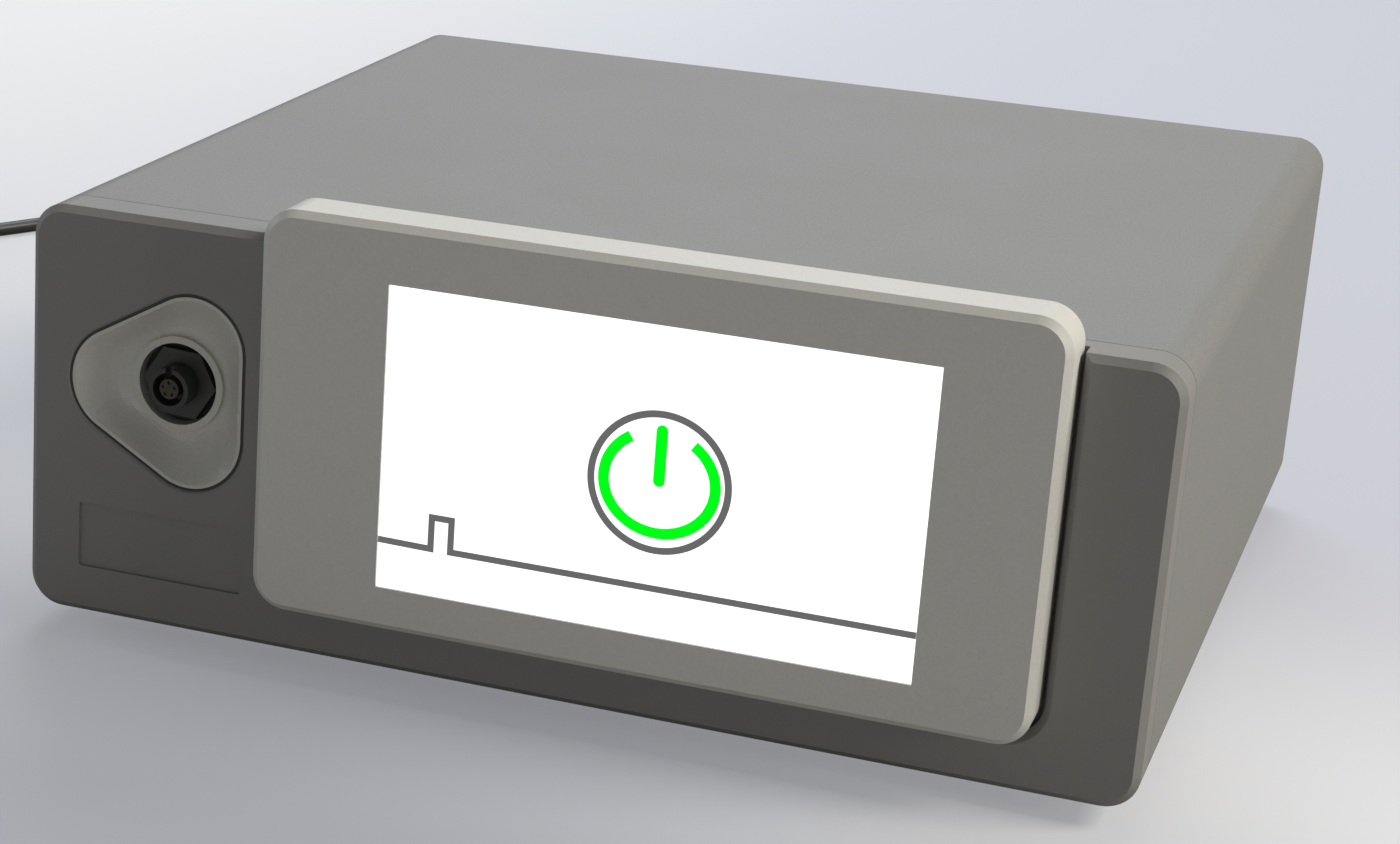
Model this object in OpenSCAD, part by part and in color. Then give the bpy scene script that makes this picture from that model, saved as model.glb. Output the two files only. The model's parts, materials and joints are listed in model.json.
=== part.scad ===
// Electroporator: a bench instrument with a raised display pod and a sunken output socket.
// Millimetres, +X to the right seen from the front, the front faces -Y, +Z up.
// The origin is on the bench, under the middle of the instrument without its lead.
// "Depth" is the distance behind the front face, negative in front of it.

/* [Case] */
// Width of the case
case_w = 330; // [326:1:350]
// Height of the case above its feet
case_h = 123.5; // [121:0.5:130]
// Depth of the case, from its front face to its rear edge
case_d = 305; // [296:1:345]
// Radius of the four long edges
case_r = 10; // [8:0.5:11]
// Wall of the case sleeve
case_wall = 2.5; // [2:0.1:3]
// Height of the feet
foot_h = 6; // [5:0.5:12]
// Diameter of a foot
foot_dia = 18; // [14:1:22]

/* [Front panel] */
// Depth of the front panel's rim, up to the seam
rim_d = 14; // [13:0.5:18]
// Wall of the front panel
panel_wall = 4; // [3.5:0.1:4.5]
// Bevel round the front face
panel_bevel = 2; // [1:0.1:3]
// Open seam between the front panel and the sleeve
seam_gap = 0.3; // [0.2:0.05:0.5]
// Length of the rim that slides into the sleeve
spigot_l = 5; // [4:0.5:8]
// Width of the bare label recess
label_w = 52.5; // [40:0.5:56]
// Distance from the label recess to the connector recess
label_gap = 8.4; // [7:0.1:14]
// Depth of the label recess
label_deep = 1; // [0.5:0.1:1.5]
// Height of the label recess above the bottom of the case
label_lift = 14.6; // [14:0.1:15]

/* [Display pod] */
// Distance from the pod to the right side of the case
pod_side = 28.5; // [22:0.5:34]
// How far the pod rises above the case
pod_over = 10.8; // [4:0.1:14]
// How far the pod stands out of the front face
pod_proud = 10; // [8:0.5:16]
// How far the pod reaches behind the front face
pod_sunk = 7.2; // [6.5:0.1:8]
// Radius of the pod's corners
pod_r = 10; // [8:0.5:12]
// Bevel round the pod's face
pod_bevel = 2; // [1:0.1:2.5]
// Side wall of the pod
pod_wall = 2.5; // [2:0.1:3]
// Front wall of the pod
pod_face = 3.5; // [3.2:0.1:4]
// Height of the pod above the bottom of the case
pod_lift = 16.1; // [14:0.1:20]
// Distance from the connector recess to the pod
pod_from_cup = 7.6; // [7:0.1:9]
// Open gap round the pod
pocket_gap = 1.3; // [0.8:0.1:2]
// Bevel round the pod's pocket in the front panel
pocket_bevel = 2; // [1:0.1:2.5]
// Border left of the screen
border_left = 38.5; // [36:0.5:42]
// Border right of the screen
border_right = 32.5; // [30:0.5:38]
// Border above the screen
border_top = 16.9; // [15:0.1:20]
// Border below the screen
border_bottom = 12.9; // [11:0.1:16]
// How deep the screen lies under the pod's face
screen_sunk = 0.5; // [0.3:0.1:0.8]
// Thickness of the touch glass
glass_t = 1.8; // [1.2:0.1:2]
// Height of the slot in the pod's right side
slot_h = 22; // [16:0.5:26]

/* [Output connector] */
// Distance from the case's left side to the connector's axis
cup_inset = 44; // [42:0.5:46]
// Height of the connector's axis above the middle of the case
cup_rise = 11.35; // [7:0.05:13]
// Side of the triangle that the recess is drawn round
cup_side = 25; // [23:0.5:27]
// Corner radius of the recess in the front face
cup_corner = 17.7; // [17:0.1:18.5]
// Depth of the dish
dish_deep = 8.8; // [8.2:0.1:9.4]
// Radius of the ring round the inner hole
ring_r = 14.3; // [13.8:0.1:14.8]
// Radius of the inner hole
well_r = 12.3; // [12:0.1:12.8]
// Width of the hex collar across its flats
hex_af = 20; // [18:0.5:20.5]
// Radius of the socket's barrel
barrel_r = 6.3; // [6:0.1:6.6]
// Radius of the bore in the barrel
barrel_bore_r = 4.9; // [4.6:0.1:5.2]
// Radius of the contact insert
insert_r = 3; // [2.8:0.1:3.3]
// Number of contacts
contact_n = 5; // [3:1:6]

/* [Rear panel] */
// Thickness of the rear panel
rear_t = 3; // [2:0.5:4]
// Side of the square fan frame
fan_size = 60; // [50:1:64]
// Depth of the fan frame
fan_t = 20; // [18:0.5:25]
// Distance from the fan's axis to the case's right side
fan_inset = 70; // [66:1:76]
// Radius of an air hole in the grille
grille_hole_r = 2; // [1.5:0.1:2.4]
// Distance between neighbouring air holes
grille_pitch = 6.4; // [5.6:0.1:6.8]
// Tilt of the switch rocker at rest
rocker_tilt = 10; // [6:1:12]
// How far the fuse cap stands out of the rear panel
fuse_proud = 9; // [8:0.5:12]

/* [Inside] */
// Thickness of the base tray
tray_t = 1.5; // [1:0.1:2.5]
// Height of the board standoffs
standoff_h = 8; // [6:0.5:12]
// Thickness of the circuit boards
board_t = 1.6; // [1:0.1:2]
// Share of the case's width that the main board takes
main_w_share = 0.606; // [0.56:0.002:0.62]
// Share of the case's depth that the main board takes
main_d_share = 0.311; // [0.28:0.001:0.32]
// Share of the case's width that the pulse board takes
pulse_w_share = 0.303; // [0.28:0.001:0.305]
// Share of the case's depth that the pulse board takes
pulse_d_share = 0.426; // [0.4:0.001:0.43]
// Share of the case's depth that the supply board takes
supply_d_share = 0.361; // [0.33:0.001:0.38]
// Share of the case's width that the transformer's radius takes
toroid_share = 0.121; // [0.105:0.001:0.123]
// Height of the toroidal transformer
toroid_h = 38; // [30:1:46]
// Height of a capacitor
cap_h = 45; // [30:1:60]
// Height of the heat sink
sink_h = 60; // [45:1:75]

/* [Mains lead] */
// Diameter of the lead
lead_d = 5.7; // [5.4:0.1:5.8]
// Distance between neighbouring turns of the coil
coil_pitch = 6.2; // [6.2:0.1:6.6]
// Inner radius of the coil, at the middle of the lead
coil_in_r = 25.5; // [24:0.5:28]
// Length of the plug's body
plug_l = 34; // [30:1:40]
// Width of the plug's body
plug_w = 25; // [23:0.5:28]
// Height of the plug's body
plug_h = 24; // [22:0.5:26]

/* [Fits] */
// Clearance between covers that are put together
slip = 0.2; // [0.1:0.05:0.3]
// Clearance round screws
screw_slip = 0.1; // [0.05:0.05:0.2]
// Clearance round shafts that turn
run_slip = 0.05; // [0.02:0.01:0.1]

/* [Hidden] */
$fn = 48;
// Every cut runs this far past the surface it opens
overrun = 1;
// Flat sides lie this far inside the arcs that they join, so that they cross them cleanly
flat_in = 0.01;

// Sizes that follow from others are kept to a tenth of a millimetre
function tenth(v) = round(10 * v) / 10;

// Main planes and centres
front_y = -(pod_proud + case_d + fuse_proud) / 2 + pod_proud;
rear_y = front_y + case_d;
mid_z = foot_h + case_h / 2;
inner_w = case_w - 2 * case_wall;
inner_h = case_h - 2 * case_wall;
inner_r = case_r - case_wall;
floor_z = foot_h + case_wall;
tray_z = floor_z + tray_t;
board_z = tray_z + standoff_h;
board_top = board_z + board_t;

// Tie rods between the front panel and the rear panel
rod_r = 4;
rod_inset = 14;
rod_stud_r = 2;
rod_stud_l = 8;
rod_boss_r = 5;
rod_tap_l = 12;
rod_x = case_w / 2 - rod_inset;
rod_z = case_h / 2 - rod_inset;

// Screws: shaft radius, shaft length, head radius, head height
big_screw = [2, 12, 3.8, 2.4];
fan_screw = [2, 18, 3.6, 2.2];
foot_screw = [2, 10.5, 3.6, 2.2];
small_screw = [1.25, 6, 2.4, 1.6];
tiny_screw = [1, 3, 1.9, 1];
// Share of a head that its hex recess takes, across and in depth
drive_shares = [0.52, 0.6];

// Feet
foot_side = 35;
foot_end = 35;
foot_x = case_w / 2 - foot_side;
foot_bore_r = 5;
foot_bore_h = 3;
foot_nut_r = 4;
foot_nut_h = 4.5;

// Air slots in the floor
vent_n = 9;
vent_w = 4;
vent_l = 40;
vent_pitch = 10;
vent_from_front = 85;
vent_y = front_y + vent_from_front;

// Connector recess, cup and socket
cup_x = -case_w / 2 + cup_inset;
cup_lift = case_h / 2 + cup_rise;
cup_z = foot_h + cup_lift;
label_h = tenth(cup_lift - cup_side / 2 - cup_corner - label_gap - label_lift);
cup_rim_bevel = 1.2;
cup_gap = 0.3;
cup_hole_corner = cup_corner - cup_rim_bevel;
cup_body_corner = cup_hole_corner - cup_gap;
cup_lip_w = 1;
cup_lip_deep = 0.5;
dish_floor_t = 1.4;
cup_back = dish_deep + dish_floor_t;
cup_flange_w = 3;
cup_flange_t = 2;
cup_right = cup_x + cup_side / (2 * sqrt(3)) + cup_corner;
ear_r = 3.2;
ear_reach = cup_side / sqrt(3) + cup_body_corner + cup_flange_w;
ring_top = 7.3;
dish_steps = 8;
arc_steps = 12;
flare_steps = 24;
flat_steps = 4;
// Share of a third of the ring that answers to a corner of the outline
corner_share = 2 / 3;
boss_r = 17;
hex_top = 8.5;
hex_t = 2.7;
hex_turn = 3;
seal_t = 0.8;
well_floor = hex_top + hex_t + seal_t;
boss_floor_t = 3.3;
boss_back = well_floor + boss_floor_t;
barrel_top = 1;
bore_floor = 8;
shank_r = 8;
shank_back = 26;
nut_af = 22;
nut_t = 3;
insert_top = 1.5;
insert_shank_r = 4;
insert_back = 24;
contact_r = 0.5;
contact_ring_r = 1.9;
contact_top = 2.5;
contact_back = 25.5;
key_w = 2;
key_l = 3;

// Pod, pocket and what is in them
pod_w = tenth(case_w / 2 - pod_side - cup_right - pod_from_cup);
pod_h = tenth(case_h + pod_over - pod_lift);
pod_x = cup_right + pod_from_cup + pod_w / 2;
pod_z = foot_h + pod_lift + pod_h / 2;
gasket_t = 0.8;
pocket_deep = pod_sunk + gasket_t;
pocket_wall = 2.5;
screen_w = pod_w - border_left - border_right;
screen_h = pod_h - border_top - border_bottom;
screen_dx = (border_left - border_right) / 2;
screen_dz = (border_bottom - border_top) / 2;
ledge_w = 3;
glass_slip = 0.15;
pod_back_t = 2;
lcd_edge = [5.5, 5.3];
lcd_w = screen_w + 2 * lcd_edge[0];
lcd_h = screen_h + 2 * lcd_edge[1];
lcd_t = 5;
lcd_back = -pod_proud + pod_face + lcd_t;
bracket_t = 1;
bracket_wing = 10.5;
bracket_slack = 2.5;
bracket_w = lcd_w + 2 * bracket_wing;
bracket_h = lcd_h - 2 * bracket_slack;
bracket_post_inset = [5, 7];
bracket_post_x = bracket_w / 2 - bracket_post_inset[0];
bracket_post_z = bracket_h / 2 - bracket_post_inset[1];
post_r = 2.6;
stud_h = 1.5;
pcb_inset = 9.5;
pcb_w = lcd_w - 2 * pcb_inset;
pcb_h = lcd_h - 2 * pcb_inset;
stud_inset = [8, 6];
stud_x = pcb_w / 2 - stud_inset[0];
stud_z = pcb_h / 2 - stud_inset[1];
pcb_d = lcd_back + bracket_t + stud_h;
pcb_part_t = 2.4;
cover_screw_inset = 7.2;
cover_boss_r = 3.4;
mount_screw_side = 22;
mount_screw_end = 24;
mount_boss_r = 3.4;
mount_boss_h = 1.6;
slot_dz = 17.8;
slot_deep = 2.2;
slot_in = 4;

// Ribbon from the display board to the main board
ribbon_w = 25;
ribbon_t = 0.8;
ribbon_bend = 5;
ribbon_drop = 30;
plug_in_w = 28;
plug_in_t = 5;
plug_in_h = 8;
ribbon_slot_h = 5;
ribbon_z = pod_z - ribbon_drop;
ribbon_from_edge = 6;

// Places of the boards
main_inset = 30;
rear_inset = 33;
board_screw_inset = 5;
pulse_side = 23;
toroid_wall_gap = 28;
supply_gap = [14.5, 9.5];
main_w = tenth(main_w_share * case_w);
main_d = tenth(main_d_share * case_d);
pulse_w = tenth(pulse_w_share * case_w);
pulse_d = tenth(pulse_d_share * case_d);
toroid_r = tenth(toroid_share * case_w);
supply_left = -case_w / 2 + toroid_wall_gap + 2 * toroid_r + supply_gap[0];
supply_w = case_w / 2 - pulse_side - pulse_w - supply_gap[1] - supply_left;
supply_d = tenth(supply_d_share * case_d);
main_side = 61;
main_at = [case_w / 2 - main_side - main_w / 2, front_y + main_inset + main_d / 2,
    main_w, main_d];
pulse_at = [case_w / 2 - pulse_side - pulse_w / 2, rear_y - rear_inset - pulse_d / 2,
    pulse_w, pulse_d];
supply_at = [supply_left + supply_w / 2, rear_y - rear_inset - supply_d / 2,
    supply_w, supply_d];
boards = [main_at, pulse_at, supply_at];
standoff_r = 3;
ribbon_y = main_at[1] - main_d / 2 + ribbon_from_edge;

// Parts on the boards: place, width, depth and height, as shares of the board and of part_h
part_h = 14;
main_part_shares = [[0.20, 0.45, 0.13, 0.27, 0.25], [0.42, 0.50, 0.10, 0.20, 0.25],
    [0.62, 0.40, 0.08, 0.12, 0.2], [0.62, 0.70, 0.08, 0.16, 0.2], [0.82, 0.60, 0.10, 0.3, 0.9],
    [0.30, 0.82, 0.15, 0.08, 0.6], [0.12, 0.80, 0.06, 0.12, 0.7]];
supply_part_shares = [[0.25, 0.30, 0.3, 0.2, 1.8], [0.72, 0.25, 0.3, 0.15, 1.2],
    [0.72, 0.55, 0.35, 0.24, 1.6], [0.24, 0.58, 0.2, 0.1, 1], [0.5, 0.88, 0.4, 0.08, 1]];
header_w = 12;
header_d = 8;
header_h = 9;

// Pulse bank, heat sink, transistors and relays on the pulse board
cap_lift = 0.3;
cap_side = 4;
cap_cols = 3;
cap_gap = 2;
cap_shares = [0.15, 0.1154];
cap_r = tenth(min(cap_shares[0] * pulse_w, cap_shares[1] * pulse_d));
sink_shares = [0.4, 0.6];
sink_w = tenth(sink_shares[0] * pulse_w);
sink_l = tenth(sink_shares[1] * pulse_d);
sink_shift = 3;
sink_fin_n = 6;
sink_fin_t = 2;
sink_base = 5;
transistor = [5, 16, 21];
transistor_n = 3;
transistor_leg = 4;
relay_shares = [0.2, 0.2154];
relay = [tenth(relay_shares[0] * pulse_w), tenth(relay_shares[1] * pulse_d), 16];
relay_n = 2;
relay_gap = 4;
pulse_back = pulse_at[1] + pulse_d / 2;
sink_at = [pulse_at[0] + sink_shift, pulse_back - sink_l / 2 - 2 * run_slip];

// Toroidal transformer on the tray
toroid_side = toroid_wall_gap + toroid_r;
toroid_from_rear = 93;
toroid_hole_r = 12;
toroid_round = 6;
pad_t = 2;
washer_r = 26;
washer_t = 2;
bolt_r = 3;
bolt_nut_af = 10;
bolt_nut_h = 5;
toroid_at = [-case_w / 2 + toroid_side, rear_y - toroid_from_rear];

// Fan
fan_x = case_w / 2 - fan_inset;
fan_z = mid_z;
fan_wall = 1.5;
fan_bore_r = fan_size / 2 - fan_wall;
fan_hole_from_edge = 5;
fan_hole_at = fan_size / 2 - fan_hole_from_edge;
fan_corner_r = 3;
fan_y = rear_y - rear_t - fan_t;
hub_mount_r = 14;
hub_mount_t = 3;
strut_w = 4;
hub_r = 13.5;
hub_gap = 0.5;
hub_t = 13;
shaft_r = 1.5;
shaft_l = 9;
blade_n = 7;
blade_t = 1.4;
blade_chord = 13;
blade_angle = 50;
blade_gap = 1;
grille_rings = 4;

// Power switch
switch_from_left = 90;
switch_lift = 74;
switch_x = -case_w / 2 + switch_from_left;
switch_z = foot_h + switch_lift;
switch_flange = [25, 31, 2];
switch_body = [21, 27, 20];
switch_well = [17, 24, 14];
rocker_w = 16.4;
rocker_r = 11.5;
rocker_crown = 2.2;
rocker_edge = 4.3;
rocker_back = 4;
rocker_in = 1.5;
pivot_r = 1.5;
pivot_l = 1.2;
rocker_y = rear_y - rocker_in;
terminal = [6.3, 9, 0.8];
terminal_z = 8;

// Fuse holder, its cap and the fuse
fuse_from_left = 135;
fuse_x = -case_w / 2 + fuse_from_left;
fuse_z = switch_z;
holder_r = 6.3;
holder_l = 34;
holder_flange_r = 8.5;
holder_flange_t = 2;
holder_bore_r = 5;
holder_end = 2;
holder_post_r = 2;
holder_pin_r = 1.2;
holder_pin_l = 6;
fuse_nut_af = 17;
fuse_nut_t = 3;
knob_r = 7.4;
knob_slot_w = 1.2;
knob_slot_l = 10;
knob_slot_deep = 1.5;
cap_plug_l = 18;
cap_seat = 4;
fuse_r = 2.6;
fuse_l = 20;
fuse_glass_r = 2.45;
fuse_end_l = 5;
post_gap = 0.3;
fuse_front_y = rear_y + holder_flange_t - cap_seat;

// Strain relief of the mains lead
gland_from_left = 40;
gland_lift = 30;
gland_x = -case_w / 2 + gland_from_left;
gland_z = foot_h + gland_lift;
gland_hole_r = 6;
gland_flange_r = 9;
gland_flange_t = 3;
gland_in = 6;
gland_nut_af = 17;
gland_nut_t = 4;
relief_l = 35;
relief_r = [5.6, 3.7];
relief_groove_n = 6;
relief_groove_w = 1.5;
relief_groove_deep = 0.7;
relief_pitch = 4.5;

// Mains lead: its free route from the end of the strain relief, where it falls to the bench
// behind the case and leaves to the left
lead_r = lead_d / 2;
lead_shape = [[0, 0, 36], [0, 12, 35.6], [0, 24, 33.5], [-0.5, 35, 29], [-2, 45, 22.5],
    [-4, 55, 15.5], [-7, 65, 9.5], [-11, 76, 5.2], [-17, 87, 3.2], [-25, 97, 2.9],
    [-35, 106, 2.9], [-47, 113, 2.9], [-60, 118, 2.9], [-74, 121, 2.9], [-88, 123, 2.9],
    [-102, 124, 2.9], [-116, 124, 2.9], [-130, 124, 2.9], [-144, 124, 2.9], [-158, 124, 2.9],
    [-171, 124, 2.9], [-184, 124, 2.9], [-197, 122, 2.9], [-211, 118, 2.9], [-224, 110, 2.9],
    [-235, 100, 2.9], [-243, 89, 2.9], [-250, 77, 2.9], [-257, 65, 2.9], [-264, 53, 2.9],
    [-271, 41, 3.1], [-278, 29, 3.5], [-285, 17, 3.75]];
lead_route = [for (p = lead_shape) p + [gland_x, rear_y + gland_flange_t + relief_l, 0]];
lead_sides = 12;
route_end = lead_route[len(lead_route) - 1];
route_before = lead_route[len(lead_route) - 2];
heading = unit([route_end[0] - route_before[0], route_end[1] - route_before[1], 0]);
// Coil: it spirals in, climbs a layer in half a turn and spirals out again
turn_steps = 24;
spiral_turns = 2.75;
climb_turns = 0.5;
coil_sides = 6;
coil_start_l = 6;
coil_dip = coil_pitch * climb_turns / PI;
coil_turns = 2 * spiral_turns + climb_turns;
coil_out_r = coil_in_r + coil_pitch * spiral_turns;
coil_right = [heading[1], -heading[0], 0];
coil_start = [route_end[0], route_end[1], 0] + coil_start_l * heading;
coil_centre = coil_start + coil_out_r * coil_right;
coil_z = [route_end[2], route_end[2] + coil_pitch];
coil_angle = atan2(-coil_right[1], -coil_right[0]);
// Tail of the coil, from its last turn to the plug
tail_l = 50;
tail_steps = 8;
// Shares of the tail where its rise to the plug starts and ends
tail_rise = [0.1, 0.8];
tail_end = coil_start + tail_l * heading + [0, 0, plug_h / 2];
heading_angle = atan2(heading[1], heading[0]);
// Tie round the coil
tie_t = 0.6;
tie_w = 12;
tie_gap = 0.3;
tie_turn = 200;

// Plug
collar_l = 9;
collar_r = [4, 5.2];
plug_round = 6;
plug_shoulder = 10;
plug_waist_w = 15;
blade = [6.35, 1.5, 17.5];
blade_apart = 12.7;
blade_up = 3.5;
earth_r = 2.4;
earth_l = 21;
earth_down = 8.4;

// Inner leads
wire_r = 1.5;
wire_sides = 8;
wire_steps = 12;
output_r = 2.5;
boot_r = 5;
boot_l = 8;
wire_reach = 24;
output_reach = 60;
wire_gap = 0.1;
output_end = [pulse_at[0] - pulse_w / 2 + 2 * header_w, pulse_at[1] - pulse_d / 2 + header_d];
fan_lead_side = 28;
fan_lead_end = [pulse_at[0] - pulse_w / 4, pulse_back - header_d];

function unit(v) = v / norm(v);

// Middle of a chain of points' directions, with the first and last ones given
function directions(path, first, last) = [for (i = [0:len(path) - 1])
    i == 0 ? first : i == len(path) - 1 ? last
        : unit(unit(path[i + 1] - path[i]) + unit(path[i] - path[i - 1]))];

// Side vectors that stay level, for a lead that lies on the bench
function level_sides(dirs) = [for (t = dirs) unit(cross([0, 0, 1], t))];

// Side vectors that twist as little as they can, for a lead that turns freely
function free_sides(dirs, s0) = [for (i = 0, s = s0; i < len(dirs);
    i = i + 1, s = i < len(dirs) ? unit(s - (s * dirs[i]) * dirs[i]) : s) s];

// Points of a cubic curve between two ends, leaving them along given directions
function curve(a, a_dir, b, b_dir, reach, steps) = [for (i = [0:steps]) let (t = i / steps, u = 1 - t)
    u * u * u * a + 3 * u * u * t * (a + reach * a_dir) + 3 * u * t * t * (b + reach * b_dir)
        + t * t * t * b];

function corner_angle(k) = 60 + 120 * k;
function corner_at(k, side) = side / sqrt(3) * [cos(corner_angle(k)), sin(corner_angle(k))];

// Outline of the rounded triangle, and the point of a circle that answers to each of its points
function tri_outline(side, r) = [for (k = [0:2]) each concat(
    [for (i = [0:arc_steps]) let (a = corner_angle(k) - 60 + 120 * i / arc_steps)
        corner_at(k, side) + r * [cos(a), sin(a)]],
    [for (i = [1:flat_steps - 1]) let (t = i / flat_steps, a = corner_angle(k) + 60)
        (1 - t) * corner_at(k, side) + t * corner_at(k + 1, side) + r * [cos(a), sin(a)]])];
function ring_outline(r) = [for (k = [0:2]) each concat(
    [for (i = [0:arc_steps]) let (a = corner_angle(k) + 120 * corner_share * (i / arc_steps - 0.5))
        r * [cos(a), sin(a)]],
    [for (i = [1:flat_steps - 1]) let (a = corner_angle(k) + 60 * corner_share
        + 120 * (1 - corner_share) * i / flat_steps) r * [cos(a), sin(a)]])];

function coil_point(u) = let (
    s = min(1, max(0, (u - spiral_turns) / climb_turns)),
    r = u <= spiral_turns ? coil_out_r - coil_pitch * u
        : u >= spiral_turns + climb_turns ? coil_in_r + coil_pitch * (u - spiral_turns - climb_turns)
        : coil_in_r - coil_dip * sin(180 * s),
    a = coil_angle - 360 * u)
    [coil_centre[0] + r * cos(a), coil_centre[1] + r * sin(a),
        coil_z[0] + (coil_z[1] - coil_z[0]) * (1 - cos(180 * s)) / 2];
coil_path = concat([route_end], [for (i = [0:coil_turns * turn_steps]) coil_point(i / turn_steps)],
    [for (i = [1:tail_steps]) let (t = i / tail_steps,
        s = min(1, max(0, (t - tail_rise[0]) / (tail_rise[1] - tail_rise[0]))))
        [0, 0, coil_z[1]] + coil_start + t * tail_l * heading
            + [0, 0, (plug_h / 2 - coil_z[1]) * (1 - cos(180 * s)) / 2]]);

// Least free distance between parts of the coil that are more than half a turn apart
function coil_gap() = min([for (i = [0:len(coil_path) - turn_steps / 2 - 1])
    for (j = [i + turn_steps / 2:len(coil_path) - 1]) norm(coil_path[i] - coil_path[j])]) - lead_d;

// Shapes that several pieces use
module along_y(t) {
    translate([0, t, 0]) rotate([90, 0, 0]) linear_extrude(t) children();
}

module along_x(t) {
    rotate([90, 0, 90]) linear_extrude(t, center = true) children();
}

module rod_y(r, h) {
    rotate([-90, 0, 0]) cylinder(r = r, h = h);
}

module nut_y(af, h) {
    rotate([-90, 0, 0]) cylinder(r = af / sqrt(3), h = h, $fn = 6);
}

module rounded(w, h, r) {
    square([w - 2 * r, h], center = true);
    square([w, h - 2 * r], center = true);
    for (sx = [-1, 1], sy = [-1, 1]) translate([sx * (w / 2 - r), sy * (h / 2 - r)]) circle(r);
}

module slab(w, h, r, t) {
    along_y(t) rounded(w, h, r);
}

// A rounded slab whose front edge is bevelled, or flared where the bevel is negative
module bevel_slab(w, h, r, t, bevel) {
    c = abs(bevel);
    linear_extrude(h - 2 * r, center = true) bevel_profile(w, t, bevel);
    rotate([0, 90, 0]) linear_extrude(w - 2 * r, center = true) bevel_profile(h, t, bevel);
    for (sx = [-1, 1], sz = [-1, 1]) translate([sx * (w / 2 - r), 0, sz * (h / 2 - r)])
        rotate([-90, 0, 0]) {
            cylinder(h = c, r1 = r - bevel, r2 = r);
            translate([0, 0, c]) cylinder(h = t - c, r = r);
        }
}

module bevel_profile(w, t, bevel) {
    c = abs(bevel);
    polygon([[-w / 2 + bevel, 0], [w / 2 - bevel, 0], [w / 2, c], [w / 2, t], [-w / 2, t],
        [-w / 2, c]]);
}

module at_depth(d) {
    translate([0, front_y + d, mid_z]) children();
}

module at_pod(d) {
    translate([pod_x, front_y + d, pod_z]) children();
}

module at_screen(d) {
    translate([pod_x + screen_dx, front_y + d, pod_z + screen_dz]) children();
}

module at_cup(d) {
    translate([cup_x, front_y + d, cup_z]) children();
}

module at_corners(x, z) {
    for (sx = [-1, 1], sz = [-1, 1]) translate([sx * x, 0, sz * z]) children();
}

module at_board_corners(b) {
    for (sx = [-1, 1], sy = [-1, 1]) translate([b[0] + sx * (b[2] / 2 - board_screw_inset),
        b[1] + sy * (b[3] / 2 - board_screw_inset), 0]) children();
}

// A screw with its head on top of z = 0 and a hex recess in the head
module screw(s) {
    difference() {
        cylinder(r = s[2], h = s[3]);
        translate([0, 0, s[3] * (1 - drive_shares[1])])
            cylinder(r = s[2] * drive_shares[0], h = s[3], $fn = 6);
    }
    translate([0, 0, -s[1]]) cylinder(r = s[0], h = s[1]);
}

module tri(side, r) {
    polygon([for (k = [0:2]) corner_at(k, side)]);
    for (k = [0:2]) {
        rotate(120 * k) translate([0, -side / 2])
            square([side / (2 * sqrt(3)) + r - flat_in, side]);
        translate(corner_at(k, side)) circle(r);
    }
}

// The rounded triangle with sides that slope from one corner radius to another
module tri_flare(side, r1, r2, h) {
    rims = [for (r = [r1, r2]) [for (k = [0:2], i = [0:flare_steps])
        let (a = 120 * (k + i / flare_steps)) corner_at(k, side) + r * [cos(a), sin(a)]]];
    n = len(rims[0]);
    points = [for (j = [0:1]) each [for (p = rims[j]) [p[0], j * h, p[1]]]];
    walls = [for (k = [0:n - 1]) let (b = (k + 1) % n) each [[k, b + n, k + n], [k, b, b + n]]];
    caps = [for (k = [1:n - 2]) each [[0, k + 1, k], [n, n + k, n + k + 1]]];
    polyhedron(points, concat(walls, caps));
}

// One closed tube of triangles along a path
module tube(path, dirs, sides, r, n) {
    rings = len(path);
    points = [for (i = [0:rings - 1]) let (s = sides[i], u = cross(dirs[i], sides[i]))
        for (k = [0:n - 1]) path[i] + r * (cos(360 * k / n) * s + sin(360 * k / n) * u)];
    walls = [for (i = [0:rings - 2]) for (k = [0:n - 1])
        let (a = i * n + k, b = i * n + (k + 1) % n)
        each [[a, a + n, b + n], [a, b + n, b]]];
    last = (rings - 1) * n;
    caps = [for (k = [1:n - 2]) each [[0, k, k + 1], [last, last + k + 1, last + k]]];
    polyhedron(points, concat(walls, caps));
}

// An inner lead between two ends, which it leaves along given directions
module wire(a, a_dir, b, b_dir, r, reach, side) {
    path = curve(a, a_dir, b, b_dir, reach, wire_steps);
    dirs = directions(path, a_dir, -b_dir);
    tube(path, dirs, free_sides(dirs, side), r, wire_sides);
}

// Dish of the connector cup: from the rounded triangle down to the ring
module dish() {
    outer = tri_outline(cup_side, cup_body_corner - cup_lip_w);
    inner = ring_outline(ring_r - cup_gap);
    n = len(outer);
    rows = concat([for (p = outer) [p[0], -overrun, p[1]]], [for (i = [0:dish_steps])
        for (k = [0:n - 1]) let (t = i / dish_steps, p = (1 - t) * outer[k] + t * inner[k])
            [p[0], cup_lip_deep + (dish_deep - cup_lip_deep) * sin(90 * t), p[1]]]);
    last = (dish_steps + 1) * n;
    walls = [for (i = [0:dish_steps]) for (k = [0:n - 1])
        let (a = i * n + k, b = i * n + (k + 1) % n)
        each [[a, b + n, a + n], [a, b, b + n]]];
    caps = [for (k = [1:n - 2]) each [[0, k + 1, k], [last, last + k, last + k + 1]]];
    polyhedron(rows, concat(walls, caps));
}

// The case
module case_sleeve() {
    length = case_d - rim_d - seam_gap;
    color([0.60, 0.60, 0.58]) difference() {
        at_depth(rim_d + seam_gap) slab(case_w, case_h, case_r, length);
        at_depth(rim_d) slab(inner_w, inner_h, inner_r, case_d);
        floor_vents();
        foot_places() translate([0, 0, -overrun])
            cylinder(r = foot_screw[0] + screw_slip, h = floor_z + 2 * overrun);
    }
}

module floor_vents() {
    for (i = [0:vent_n - 1])
        translate([(i - vent_n / 2) * vent_pitch, vent_y - vent_l / 2, foot_h - overrun])
            cube([vent_w, vent_l, tray_z - foot_h + 2 * overrun]);
}

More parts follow.
